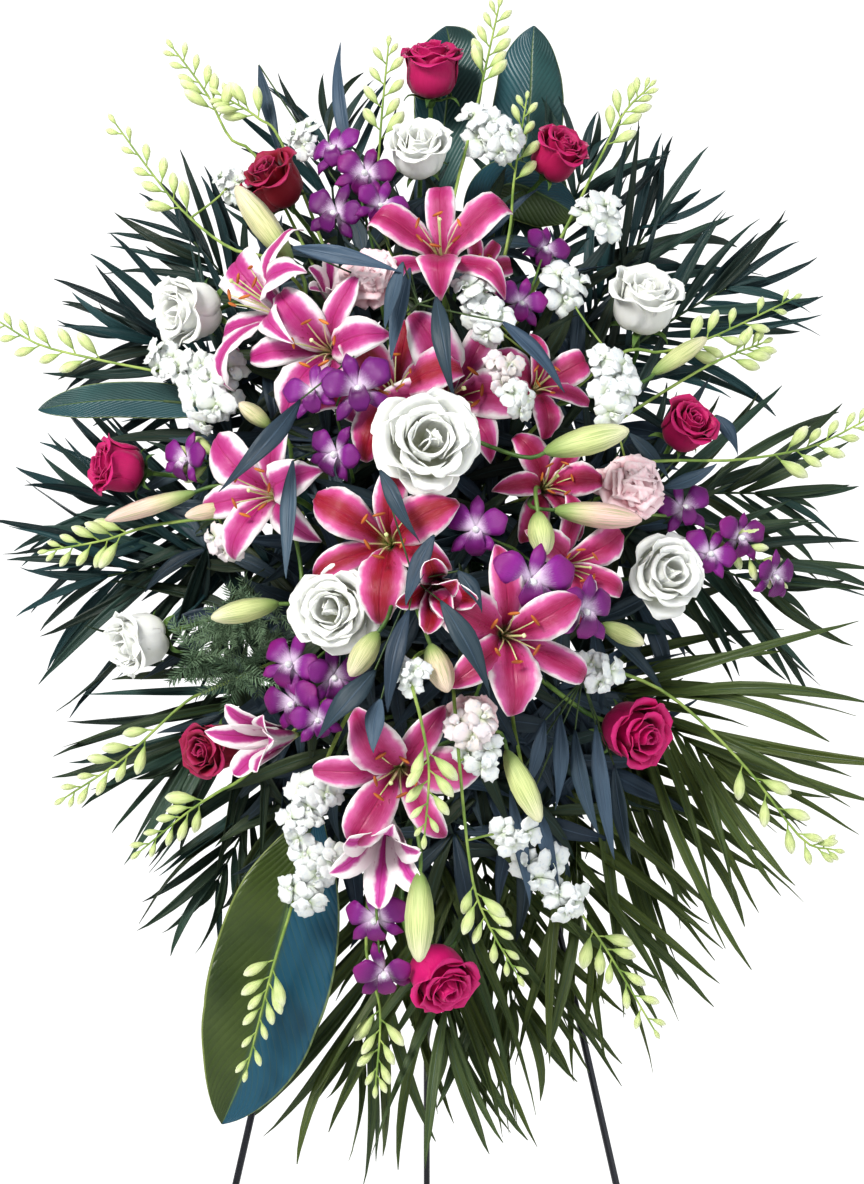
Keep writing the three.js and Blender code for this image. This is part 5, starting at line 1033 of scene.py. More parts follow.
def addLilyFlower(flower, size, shapes, back, batch):  # back is how far the seat lies behind the flower
    axis = facing(flower["turn"], flower["lift"])
    seat = seen(flower["at"]) - axis * size * back
    head = headMatrix(seat, axis, flower["roll"], size)
    for layer, kind in enumerate(shapes):
        for i in range(3):
            angle = math.radians(120 * (i + 0.5 + layer * 0.5) - 90 + random.uniform(-9, 9))
            fold = Matrix.Rotation(math.radians(random.uniform(-13, 13)), 4, "X")
            stretch = Matrix.Diagonal((vary(0.1), vary(0.07), vary(0.07), 1))
            tone = (clamp(flower["tone"][0] + random.uniform(-0.1, 0.1)), flower["tone"][1], random.random())
            turned = head @ Matrix.Rotation(angle, 4, "Z") @ fold @ stretch
            copyOf(random.choice(lilyPetals[kind]), turned, tone, batch)
    return head, seat, axis


def pointTo(start, end, radius, turn=0.0):  # sets a bud, one long and one in radius, between two places
    way = end - start
    turned = way.to_track_quat("Z", "Y").to_matrix().to_4x4() @ Matrix.Rotation(turn, 4, "Z")
    return Matrix.Translation(start) @ turned @ Matrix.Diagonal((radius, radius, way.length, 1))


def makeLilyStem(node):
    plan = lilies[node]
    batch, lines = [], []
    main = None
    heads = [(flower, "open") for flower in plan["open"]]
    heads += [(flower, "trumpet") for flower in plan["trumpets"]]
    for flower, kind in heads:
        if kind == "open":
            size = flower["size"] * mm
            head, seat, axis = addLilyFlower(flower, size, ("outer", "inner"), 0.55, batch)
            addLilyStamens(head, batch)
        else:
            size = flower["size"] * plan.get("trumpetSize", 1) * mm
            head, seat, axis = addLilyFlower(flower, size, ("trumpet_outer", "trumpet_inner"), 0.9, batch)
        end = seat - axis * size * 0.04
        if main is None:
            main = stemTo(node, end, axis, 3.6, 2.8)
            lines.append(main)
        else:
            lines.append(branchTo(main[0][6], end, axis, 0.03, 2.6, 2.2))
    for bud in plan["buds"]:
        start, end = seen(bud["from"]), seen(bud["to"])
        fork = min(main[0][5:], key=lambda point: (point - start).length)
        back = (start - end).normalized()
        bent = fork.lerp(start + back * 0.03, 0.6)
        lines.append(smoothLine([fork, bent, start + back * 0.02, start - back * 0.004], 2.2, 2.0))
        pod = pointTo(start, end, bud["radius"] * mm, random.uniform(0, 3))
        copyOf(lilyBud, pod, (bud["pink"], 0, random.random()), batch)
    batch.append(makeTubes(node + "_stems", finishes["stem"], lines))
    finishPiece(node + "_flowers", batch, node)


for node in lilies:
    makeLilyStem(node)
print("lilies:", len(lilies))


# Orchid sprays: their stems' lines with the buds at the ends, and the florets; warm ones are blush
orchids = {
    "orchid_white_top": {
        "stems": [
            {"line": [[24, 340, 150], [50, 450, 118], [61, 499, 106], [72, 549, 100]], "buds": 5},
            {"line": [[82, 320, 140], [88, 380, 122], [100, 457, 104]], "buds": 3},
            {"line": [[-46, 350, 150], [-46, 420, 120], [-38, 510, 104]], "buds": 4},
            {"line": [[144, 340, 130], [166, 385, 116], [196, 444, 104], [221, 471, 100]], "buds": 5},
        ],
        "florets": [
            {"at": [54, 435, 132], "radius": 26, "turn": -10, "lift": 20},
            {"at": [76, 418, 138], "radius": 24, "turn": 20, "lift": 0},
            {"at": [172, 345, 142], "radius": 26, "turn": 20, "lift": 20},
        ],
    },
    "orchid_white_upper_left": {
        "stems": [
            {"line": [[-165, 396, 84], [-196, 422, 88], [-219, 466, 94], [-250, 508, 96]], "buds": 5},
            {"line": [[-140, 290, 170], [-196, 312, 150], [-239, 345, 128], [-272, 384, 112],
                      [-308, 433, 104]], "buds": 5},
            {"line": [[-142, 412, 95], [-168, 442, 97], [-202, 463, 98]], "buds": 3},
        ],
        "florets": [
            {"at": [-122, 425, 116], "radius": 22, "turn": -26, "lift": 20},
            {"at": [-198, 378, 124], "radius": 20, "turn": -30, "lift": 10},
        ],
    },
    "orchid_white_left": {
        "stems": [
            {"line": [[-220, 178, 150], [-276, 190, 134], [-326, 200, 120], [-386, 215, 108],
                      [-426, 238, 102]], "buds": 5},
            {"line": [[-211, 42, 160], [-276, 34, 136], [-321, 20, 120], [-374, 10, 108]], "buds": 5},
        ],
        "florets": [
            {"at": [-238, 188, 172], "radius": 28, "turn": -30, "lift": 10},
            {"at": [-204, 178, 186], "radius": 28, "turn": 0, "lift": 0},
            {"at": [-222, 150, 176], "radius": 26, "turn": -20, "lift": -20},
            {"at": [-266, 202, 142], "radius": 20, "turn": -40, "lift": 10},
            {"at": [-202, 20, 196], "radius": 22, "turn": -20, "lift": -10, "warm": 0.55},
        ],
    },
    "orchid_white_lower_left": {
        "stems": [
            {"line": [[-212, -128, 130], [-244, -145, 122], [-302, -198, 110],
                      [-357, -235, 102]], "buds": 5},
            {"line": [[-176, -212, 138], [-208, -232, 128], [-238, -252, 118],
                      [-282, -288, 104]], "buds": 4},
            {"line": [[-113, -235, 176], [-129, -326, 150], [-151, -400, 132], [-162, -441, 122],
                      [-178, -505, 112]], "buds": 6},
            {"line": [[-60, -380, 118], [-46, -450, 112], [-50, -520, 108]], "buds": 3},
        ],
        "florets": [
            {"at": [-113, -235, 196], "radius": 26, "turn": -10, "lift": 10},
            {"at": [-128, -268, 184], "radius": 24, "turn": -20, "lift": 0},
            {"at": [-108, -300, 180], "radius": 26, "turn": 10, "lift": 0},
            {"at": [-122, -332, 168], "radius": 24, "turn": -10, "lift": -20},
        ],
    },
    "orchid_white_centre": {
        "stems": [
            {"line": [[29, -150, 300], [42, -290, 256], [56, -351, 226], [89, -411, 200]], "buds": 5},
            {"line": [[-16, -110, 330], [-5, -160, 322], [3, -210, 306], [-1, -270, 290]], "buds": 4},
        ],
        "florets": [
            {"at": [-16, -115, 340], "radius": 18, "turn": -10, "lift": 10},
            {"at": [46, -164, 302], "radius": 24, "turn": 10, "lift": 10, "warm": 0.55},
            {"at": [54, -194, 290], "radius": 22, "turn": 0, "lift": -10},
            {"at": [90, -272, 246], "radius": 22, "turn": 20, "lift": -10},
        ],
    },
    "orchid_white_lower_right": {
        "stems": [
            {"line": [[124, -304, 170], [155, -353, 150], [182, -392, 134], [226, -466, 116]], "buds": 5},
            {"line": [[171, -105, 226], [243, -135, 180], [317, -204, 140], [375, -278, 116],
                      [404, -289, 110]], "buds": 6},
        ],
        "florets": [
            {"at": [114, -305, 200], "radius": 27, "turn": 10, "lift": -10},
            {"at": [140, -340, 182], "radius": 24, "turn": 20, "lift": -20},
            {"at": [174, -112, 240], "radius": 22, "turn": 20, "lift": 0},
        ],
    },
    "orchid_white_right": {
        "stems": [
            {"line": [[214, 97, 190], [309, 100, 150], [384, 113, 122], [438, 139, 108]], "buds": 5},
            {"line": [[190, 204, 186], [236, 208, 168], [284, 222, 146], [364, 260, 112]], "buds": 5},
            {"line": [[274, 190, 156], [334, 216, 122]], "buds": 3},
        ],
        "florets": [
            {"at": [48, 262, 240], "radius": 26, "turn": 0, "lift": 20},
            {"at": [66, 236, 252], "radius": 24, "turn": 10, "lift": 0},
            {"at": [142, 275, 166], "radius": 27, "turn": 20, "lift": 20},
            {"at": [186, 192, 262], "radius": 26, "turn": 20, "lift": 10},
            {"at": [190, 158, 262], "radius": 25, "turn": 20, "lift": -10},
            {"at": [76, 188, 262], "radius": 20, "turn": 10, "lift": 0, "warm": 0.55},
            {"at": [92, 160, 268], "radius": 20, "turn": 20, "lift": -10},
        ],
    },
    "orchid_purple_top": {
        "stems": [
            {"line": [[-60, 340, 170], [-70, 380, 150], [-92, 412, 130]], "buds": 0},
            {"line": [[95, 250, 190], [118, 308, 160]], "buds": 0},
        ],
        "florets": [
            {"at": [-91, 410, 138], "radius": 30, "turn": -20, "lift": 20},
            {"at": [-61, 386, 160], "radius": 31, "turn": 0, "lift": 10},
            {"at": [-91, 346, 176], "radius": 31, "turn": -20, "lift": 0},
            {"at": [-46, 354, 196], "radius": 26, "turn": 10, "lift": 0},
            {"at": [118, 310, 158], "radius": 26, "turn": 30, "lift": 10},
            {"at": [95, 256, 192], "radius": 27, "turn": 10, "lift": 0},
        ],
    },
    "orchid_purple_left": {
        "stems": [
            {"line": [[-80, 110, 230], [-90, 150, 244], [-80, 172, 262]], "buds": 0},
            {"line": [[-180, 96, 170], [-238, 100, 140]], "buds": 1},
        ],
        "florets": [
            {"at": [-68, 170, 284], "radius": 34, "turn": -5, "lift": 5},
            {"at": [-113, 168, 270], "radius": 30, "turn": -25, "lift": 5},
            {"at": [-91, 106, 268], "radius": 29, "turn": -30, "lift": -10},
            {"at": [-241, 100, 150], "radius": 28, "turn": -40, "lift": 0},
        ],
    },
    "orchid_purple_right": {
        "stems": [
            {"line": [[90, 10, 250], [150, -40, 270]], "buds": 0},
            {"line": [[200, 44, 180], [262, 40, 150], [312, 14, 132], [350, -18, 120]], "buds": 3},
        ],
        "florets": [
            {"at": [50, 30, 290], "radius": 31, "turn": 0, "lift": 0},
            {"at": [106, -22, 306], "radius": 37, "turn": 5, "lift": 0},
            {"at": [158, -52, 284], "radius": 33, "turn": 20, "lift": -5},
            {"at": [258, 52, 160], "radius": 27, "turn": 20, "lift": 16},
            {"at": [284, 6, 152], "radius": 27, "turn": 10, "lift": 0},
            {"at": [314, 22, 142], "radius": 27, "turn": 30, "lift": 5},
            {"at": [348, -17, 130], "radius": 27, "turn": 35, "lift": -5},
        ],
    },
    "orchid_purple_low": {
        "stems": [
            {"line": [[-120, -110, 190], [-136, -140, 190]], "buds": 0},
            {"line": [[-50, -340, 180], [-46, -400, 150]], "buds": 0},
        ],
        "florets": [
            {"at": [-136, -105, 206], "radius": 32, "turn": -20, "lift": 5},
            {"at": [-133, -144, 202], "radius": 30, "turn": -25, "lift": -5},
            {"at": [-92, -118, 222], "radius": 29, "turn": 5, "lift": 0},
            {"at": [-108, -160, 216], "radius": 26, "turn": 0, "lift": -10},
            {"at": [-51, -360, 172], "radius": 30, "turn": -10, "lift": -10},
            {"at": [-42, -414, 150], "radius": 30, "turn": 0, "lift": -20},
        ],
    },
}

# The two kinds of floret, one in radius: white ones are flatter and crinkled, in clusters of small ones
floretShapes = {
    "purple": {
        "finish": "purple", "stem": "stem", "ripple": 0.1, "flat": 1.0,
        "wing": [0.05, 0.2, 0.35, 0.37, 0.05], "sepal": [0.05, 0.14, 0.2, 0.17, 0.02],
    },
    "white": {
        "finish": "whiteOrchid", "stem": "orchidStem", "ripple": 0.36, "flat": 0.6,
        "wing": [0.05, 0.26, 0.46, 0.46, 0.16], "sepal": [0.05, 0.2, 0.32, 0.3, 0.06],
    },
}


def makeFloretParts(kind):
    shape = floretShapes[kind]
    finish, ripple, flat = finishes[shape["finish"]], shape["ripple"], shape["flat"]
    wings = [makeBlade(f"{kind}_wing_{j}", finish, {
        "section": grooveSection(7, 0.3, 0.45),
        "rows": 9,
        "path": [(0.02, 0.04), (0.24, 0.14), (0.52, 0.2 * flat + 0.06 * j), (0.8, 0.16 * flat), (1.0, 0.04)],
        "halves": shape["wing"],
        "cups": [1, 1, 1, 0.8],
        "ripple": ripple,
        "rippleSize": (0.3 - 0.08 * j) * flat,
        "thick": 0.03,
    }) for j in range(2)]
    sepals = [makeBlade(f"{kind}_sepal_{j}", finish, {
        "section": grooveSection(5, 0.3, 0.5),
        "rows": 9,
        "path": [(0.02, 0.0), (0.26, 0.08), (0.56, 0.13), (0.82, 0.06 + 0.08 * j), (1.0, -0.06)],
        "halves": shape["sepal"],
        "cups": [1, 1, 1, 0.8],
        "ripple": ripple * 0.7,
        "rippleSize": 0.3,
        "thick": 0.03,
    }) for j in range(2)]
    lip = makeBlade(f"{kind}_lip", finish, {
        "section": arcSection(7, 70),
        "rows": 9,
        "path": [(0.0, 0.06), (0.12, 0.26), (0.3, 0.34), (0.5, 0.26), (0.66, 0.06)],
        "halves": [0.06, 0.15, 0.22, 0.28, 0.12],
        "cups": [1.1, 1.1, 0.6, 0.2, 0.0],
        "ripple": ripple,
        "rippleSize": 0.2,
        "thick": 0.03,
    })
    return {"wing": wings, "sepal": sepals, "lip": [lip]}


floretParts = {kind: makeFloretParts(kind) for kind in floretShapes}
columnProfile = [(0.05, 0.0), (0.09, 0.1), (0.11, 0.22), (0.08, 0.32), (0.02, 0.36)]
podProfile = [(0.14, 0.0), (0.42, 0.14), (0.78, 0.34), (1.0, 0.56), (0.92, 0.74), (0.58, 0.9), (0.14, 1.0)]
orchidColumn = makeTurned("orchid_column", finishes["whiteOrchid"], columnProfile, 8)
orchidBud = makeTurned("orchid_bud_pod", finishes["orchidBud"], podProfile, 8)

# A floret's parts from back to front: which, at what angle, and how large
floretLayers = [
    ("sepal", 0, 0.95), ("sepal", 132, 0.92), ("sepal", -132, 0.92),
    ("wing", 66, 1.0), ("wing", -66, 1.0), ("lip", 180, 1.0),
]


def addFloret(kind, seat, axis, roll, radius, tone, batch):
    head = headMatrix(seat - axis * radius * 0.2, axis, roll, radius)
    for layer, (part, angle, size) in enumerate(floretLayers):
        turned = Matrix.Rotation(math.radians(angle + random.uniform(-9, 9)), 4, "Z")
        fold = Matrix.Rotation(math.radians(random.uniform(-8, 22)), 4, "X")
        rise = Matrix.Translation((0, 0, 0.012 * layer))
        darker = 0.35 if part == "lip" and kind == "purple" else 0
        depth = clamp(tone[0] + random.uniform(-0.15, 0.15) + darker)
        petal = random.choice(floretParts[kind][part])
        place = head @ rise @ turned @ fold @ Matrix.Scale(size * vary(0.07), 4)
        copyOf(petal, place, (depth, tone[1], random.random()), batch)
    copyOf(orchidColumn, head @ Matrix.Translation((0, 0, 0.08)), (0, 0.1, 0), batch)


def addOrchidBuds(line, count, batch, lines):  # buds on both sides of a stem's outer half, smaller to its tip
    for k in range(count):
        share = 0.5 + 0.5 * k / max(count - 1, 1)
        spot = curveAt(line, share)
        along = (curveAt(line, min(share + 0.03, 1)) - curveAt(line, share - 0.03)).normalized()
        side = along.cross(Vector((0, 1, 0))).normalized() * (1 if k % 2 else -1)
        out = along * random.uniform(0.5, 1.0) + side * random.uniform(0.6, 1.0)
        out = (out + Vector((0, random.uniform(-0.5, 0.3), 0))).normalized()
        size = (1.25 - 0.7 * (share - 0.5) / 0.5) * vary(0.12)
        if k == count - 1:
            out = along
        foot = spot + out * 0.006 * size
        tip = foot + (out + along * 0.4).normalized() * 0.024 * size
        lines.append(([spot, spot.lerp(foot, 0.6), foot.lerp(tip, 0.06)], [0.9, 0.8, 0.8]))
        copyOf(orchidBud, pointTo(foot, tip, 0.0049 * size), (0, 0, random.random()), batch)


def addCluster(floret, seat, radius, batch):  # three small white florets round one place
    for i in range(3):
        angle = math.radians(120 * i + random.uniform(0, 60))
        off = Vector((math.cos(angle), random.uniform(-0.5, 0.3), math.sin(angle))) * radius * 0.5
        turned = facing(floret["turn"] + 26 * math.cos(angle), floret["lift"] + 24 * math.sin(angle))
        roll, small = random.uniform(-180, 180), radius * random.uniform(0.68, 0.86)
        addFloret("white", seat + off, turned, roll, small, (0.0, floret.get("warm", 0.0)), batch)


def makeOrchidSpray(node):
    kind = "purple" if "purple" in node else "white"
    plan = orchids[node]
    batch, lines, stems = [], [], []
    root, leave = rootOf(node)
    for stem in plan["stems"]:
        seenLine = [seen(point) for point in stem["line"]]
        start = [root, leave] if not stems else [stems[0][2]]
        way = (seenLine[1] - seenLine[0]).normalized()
        knee = start[-1].lerp(seenLine[0] - way * 0.03, 0.55)
        line, radii = smoothLine([*start, knee, *seenLine], 2.4, 0.9, 24)
        stems.append(line)
        lines.append((line, radii))
        if stem["buds"]:
            addOrchidBuds(seenLine, 6 + stem["buds"], batch, lines)
    for floret in plan["florets"]:
        seat = seen(floret["at"])
        axis = facing(floret["turn"] + random.uniform(-8, 8), floret["lift"] + random.uniform(-6, 6))
        places = [point for line in stems for point in line[3:]]
        near = min(places, key=lambda point: (point - seat).length)
        radius = floret["radius"] * mm * (1.1 if kind == "purple" else 1)
        bent = near.lerp(seat - axis * radius * 0.5, 0.6)
        lines.append(smoothLine([near, bent, seat - axis * radius * 0.2], 1.2, 1.0, 6))
        if kind == "white":
            addCluster(floret, seat, radius, batch)
            continue
        roll, tone = random.uniform(-25, 25), (random.uniform(0.3, 0.8), random.random())
        addFloret(kind, seat, axis, roll, radius, tone, batch)
    batch.append(makeTubes(node + "_stems", finishes[floretShapes[kind]["stem"]], lines))
    finishPiece(node + "_spray", batch, node)


for node in orchids:
    makeOrchidSpray(node)
print("orchid sprays:", len(orchids))


# Carnations
carnations = {
    "carnation_upper": [{"at": [-56, 281, 232], "turn": -8, "lift": 14, "size": 56}],
    "carnation_right": [
        {"at": [205, 73, 192], "turn": 20, "lift": 6, "size": 60},
        {"at": [44, -162, 262], "turn": 4, "lift": 4, "size": 46},
    ],
}

carnationPetals = [makeBlade(f"carnation_petal_{j}", finishes["carnation"], {
    "section": grooveSection(9, 0.1, 0.2),
    "rows": 8,
    "path": [(0.02, 0.0), (0.08, 0.24), (0.2, 0.44), (0.38, 0.56), (0.5, 0.56)],
    "halves": [0.03, 0.07, 0.16, 0.25, 0.22],
    "cups": [1, 1, 1, 1],
    "ripple": 0.28,
    "rippleSize": 0.07 + 0.02 * j,
    "thick": 0.012,
}) for j in range(3)]

# A carnation's rings from the outside in: how many petals, how far they fold up, and how tall they are
carnationRings = [(9, -14, 0.9), (9, 4, 1.0), (8, 22, 1.05), (6, 40, 1.05), (4, 56, 1.0)]


def makeCarnations(node):
    batch, lines = [], []
    main = None
    for flower in carnations[node]:
        size = flower["size"] * mm
        axis = facing(flower["turn"], flower["lift"])
        seat = seen(flower["at"]) - axis * size * 0.4
        head = headMatrix(seat, axis, 0, size)
        for layer, (count, fold, tall) in enumerate(carnationRings):
            for i in range(count):
                angle = 360 * i / count + 17 * layer + random.uniform(-10, 10)
                turned = Matrix.Rotation(math.radians(angle), 4, "Z")
                lean = Matrix.Rotation(math.radians(fold + random.uniform(-8, 8)), 4, "X")
                petal = random.choice(carnationPetals)
                place = head @ turned @ lean @ Matrix.Scale(tall * vary(0.08), 4)
                copyOf(petal, place, (0, 0, random.random()), batch)
        copyOf(roseCup, head @ Matrix.Diagonal((1.2, 1.2, 1.8, 1)), (0.6, 0.2, 0.5), batch)
        end = seat - axis * size * 0.1
        if main is None:
            main = stemTo(node, end, axis, 2.4, 2.0)
            lines.append(main)
        else:
            lines.append(branchTo(main[0][6], end, axis, 0.02, 1.8, 1.6))
    batch.append(makeTubes(node + "_stems", finishes["stem"], lines))
    finishPiece(node + "_bloom", batch, node)


for node in carnations:
    makeCarnations(node)
print("carnation stems:", len(carnations))


# Small leaves, one long and one across their widest half: four of each kind, each with its own curl
leafShapes = {
    "palm": {
        "halves": [0.3, 0.8, 1.0, 0.9, 0.62, 0.05], "curls": (0.06, 0.2, -0.1, 0.32),
        "rise": 0.6, "thick": 0.004, "ratio": 0.045, "sway": 3.8, "rows": 11, "columns": 5,
    },
    "willow": {
        "halves": [0.12, 0.7, 1.0, 0.85, 0.5, 0.04], "curls": (0.1, 0.24, -0.12, 0.34),
        "rise": 0.5, "thick": 0.006, "ratio": 0.08, "sway": 1.2, "rows": 13, "columns": 5,
    },
    "fern": {
        "halves": [0.4, 1.0, 0.7, 0.1], "curls": (0.05, 0.1, -0.05, 0.1),
        "rise": 0.4, "thick": 0.02, "ratio": 0.08, "sway": 0.0, "rows": 4, "columns": 3,
    },
}


def makeLeafBlades(kind):
    shape = leafShapes[kind]
    return [makeBlade(f"{kind}_blade_{j}", finishes[kind], {
        "section": grooveSection(shape["columns"], shape["rise"], 0.1),
        "rows": shape["rows"],
        "path": [(0, 0), (0.25, 0.25 * curl), (0.5, 0.36 * curl), (0.75, 0.25 * curl), (1.0, -0.15 * curl)],
        "halves": shape["halves"],
        "cups": [shape["ratio"], shape["ratio"]],
        "ratio": shape["ratio"],
        "thick": shape["thick"],
        "twist": 60 * (j - 1.5),
        "swing": shape["sway"] * (1, -0.8, -1.2, 0.7)[j],
    }) for j, curl in enumerate(shape["curls"])]


palmBlades = makeLeafBlades("palm")
willowBlades = makeLeafBlades("willow")


def bladeMatrix(start, end, normal, half):  # a leaf from one place to another, its face to the normal
    way = end - start
    along = way.normalized()
    across = along.cross(normal).normalized()
    face = across.cross(along).normalized()
    turned = Matrix((across, along, face)).transposed().to_4x4()
    return Matrix.Translation(start) @ turned @ Matrix.Diagonal((half, way.length, way.length, 1))


# Willow-like stems: where each ends, and its separate leaves
willows = {
    "willow_stem_upper": {
        "to": [-8, 256, 262],
        "leaves": [
            {"from": [-133, 313, 262], "to": [-23, 298, 290], "half": 9},
            {"from": [-23, 298, 282], "to": [-51, 232, 296], "half": 8},
            {"from": [-16, 292, 270], "to": [-46, 203, 284], "half": 8},
            {"from": [10, 263, 276], "to": [37, 160, 290], "half": 10},
            {"from": [77, 238, 268], "to": [132, 166, 286], "half": 9},
            {"from": [-126, 160, 292], "to": [-199, 63, 298], "half": 10},
            {"from": [-133, 99, 272], "to": [-151, -19, 276], "half": 9},
            {"from": [-167, 495, 62], "to": [-140, 404, 84], "half": 7},
            {"from": [-76, 395, 100], "to": [-81, 521, 84], "half": 8},
        ],
    },
    "willow_stem_centre": {
        "to": [-12, -20, 318],
        "leaves": [
            {"from": [-46, 90, 330], "to": [-1, 22, 334], "half": 8},
            {"from": [8, 25, 338], "to": [-32, -40, 346], "half": 9},
            {"from": [15, -41, 344], "to": [76, -129, 344], "half": 11},
            {"from": [-17, -50, 340], "to": [-48, -149, 340], "half": 9},
            {"from": [-51, -110, 318], "to": [-101, -185, 312], "half": 12},
            {"from": [-45, -139, 316], "to": [-66, -187, 310], "half": 10},
            {"from": [32, -11, 334], "to": [64, -47, 340], "half": 8},
        ],
    },
    "willow_stem_right": {
        "to": [156, -120, 216],
        "leaves": [
            {"from": [203, 127, 176], "to": [250, 84, 180], "half": 7},
            {"from": [236, 72, 178], "to": [294, 86, 178], "half": 8},
            {"from": [290, 145, 130], "to": [319, 110, 132], "half": 8},
            {"from": [119, -160, 236], "to": [104, -240, 228], "half": 7},
            {"from": [134, -155, 220], "to": [139, -250, 214], "half": 8},
            {"from": [149, -170, 208], "to": [164, -275, 200], "half": 8},
            {"from": [170, -165, 196], "to": [180, -300, 186], "half": 8},
            {"from": [104, -240, 206], "to": [140, -325, 194], "half": 8},
            {"from": [188, -205, 180], "to": [194, -305, 172], "half": 8},
            {"from": [84, -230, 214], "to": [112, -345, 200], "half": 7},
        ],
    },
}

# Dark leaves on short twigs behind the blooms, their dark tones partly painted shade for the gaps between
# blooms: how many, how long, how far to the sides and up they spread, how far forward they reach at the
# middle and at the edge, and how wide, high and deep their roots spread
fill = {
    "twigs": 26,
    "leaves": 10,
    "length": (0.075, 0.13),
    "wide": 225,
    "high": 335,
    "near": 175,
    "far": 55,
    "roots": (0.045, 0.1, 0.07),
}


def addFill(turn, batch, lines):
    wide, high, deep = fill["roots"]
    for k in range(fill["twigs"]):
        angle = 2.4 * (3 * k + turn)
        spread = math.sqrt((k + 0.5) / fill["twigs"])
        forward = fill["near"] + (fill["far"] - fill["near"]) * spread + random.uniform(-15, 15)
        right, up = fill["wide"] * spread * math.cos(angle), 15 + fill["high"] * spread * math.sin(angle)
        centre = seen((right, up, forward))
        across, up, _ = offEasel(centre)
        root = onEasel(min(max(across * 0.4, -wide), wide), min(max(up * 0.4, -high), high), deep)
        bent = root.lerp(centre, 0.6) + Vector((0, 0.01, 0))
        lines.append(smoothLine([root, bent, centre], 1.4, 0.9, 8))
        for j in range(fill["leaves"]):
            angle = 2 * math.pi * (j + random.random()) / fill["leaves"]
            way = Vector((math.cos(angle), random.uniform(-0.2, 0.4), math.sin(angle) - 0.25)).normalized()
            normal = Vector((random.uniform(-0.7, 0.7), -1, random.uniform(-0.5, 0.7)))
            blades, half = (willowBlades, 0.0085) if random.random() < 0.5 else (palmBlades, 0.0075)
            # These real leaves get lower depths than the willow's own leaves, darkened as painted shade
            # behind the blooms
            tone = (random.uniform(0, 0.4), random.uniform(0, 0.5), random.random())
            tip = centre + way * random.uniform(*fill["length"])
            leaf = random.choice(blades)
            copyOf(leaf, bladeMatrix(centre, tip, normal, half * vary(0.2)), tone, batch)


def makeWillowStem(node, turn):
    plan = willows[node]
    batch = []
    main = stemTo(node, seen(plan["to"]), facing(0, 0), 2.4, 1.6)
    lines = [main]
    for leaf in plan["leaves"]:
        start, end = seen(leaf["from"]), seen(leaf["to"])
        fork = min(main[0][4:], key=lambda point: (point - start).length)
        bent = fork.lerp(start, 0.6) + Vector((0, 0.004, 0))
        lines.append(smoothLine([fork, bent, start], 1.0, 0.8, 6))
        normal = Vector((random.uniform(-0.5, 0.5), -1, random.uniform(-0.3, 0.5)))
        tone = (random.uniform(0.2, 1.0), random.uniform(0, 0.4), random.random())
        blade = random.choice(willowBlades)
        copyOf(blade, bladeMatrix(start, end, normal, leaf["half"] * mm), tone, batch)
    addFill(turn, batch, lines)
    batch.append(makeTubes(node + "_stems", finishes["darkStem"], lines))
    finishPiece(node + "_leaves", batch, node)


for turn, node in enumerate(willows):
    makeWillowStem(node, turn)
print("willow stems:", len(willows))


# Large leaves: a fine grid set row by row on the midrib's line. The tip is the share of the length where a
# leaf begins to narrow to its point
# A leaf's tone is how olive rather than teal it is, and how much painted blue sheen lies on one half of it
broadLeaves = {
    "leaf_top_left": {
        "line": [[2, 300, 52], [14, 400, 36], [22, 470, 32], [24, 512, 34], [20, 534, 40]],
        "halves": [4, 26, 36, 30],
        "cup": 0.25,
        "tone": (0.15, 0.3),
        "wave": 0.05,
        "tip": 0.75,
    },
    "leaf_top_right": {
        "line": [[70, 300, 34], [96, 400, 20], [104, 460, 14], [106, 505, 14], [108, 534, 18]],
        "halves": [5, 34, 38, 26],
        "cup": -0.5,
        "tone": (0.1, 0.4),
        "wave": 0.1,
        "tip": 0.6,
    },
    "leaf_top_folded": {
        "line": [[60, 290, 62], [56, 350, 66], [84, 376, 62], [126, 360, 54], [152, 342, 48]],
        "halves": [5, 20, 34, 28],
        "cup": -0.4,
        "tone": (0.85, 0.8),
        "wave": 0.05,
        "tip": 0.7,
    },
    "leaf_left_strap": {
        "line": [[-190, 150, 104], [-250, 158, 100], [-310, 160, 96], [-356, 156, 92], [-388, 150, 90]],
        "halves": [4, 17, 18, 14],
        "cup": 0.2,
        "tone": (0.1, 0.3),
        "wave": 0.03,
        "tip": 0.6,
    },
    "leaf_lower_left": {
        "line": [[-110, -250, 108], [-134, -330, 104], [-156, -420, 92], [-178, -500, 76], [-204, -564, 62]],
        "halves": [6, 48, 60, 44],
        "cup": 0.18,
        "tone": (0.9, 1.0),
        "wave": 0.06,
        "tip": 0.62,
    },
}


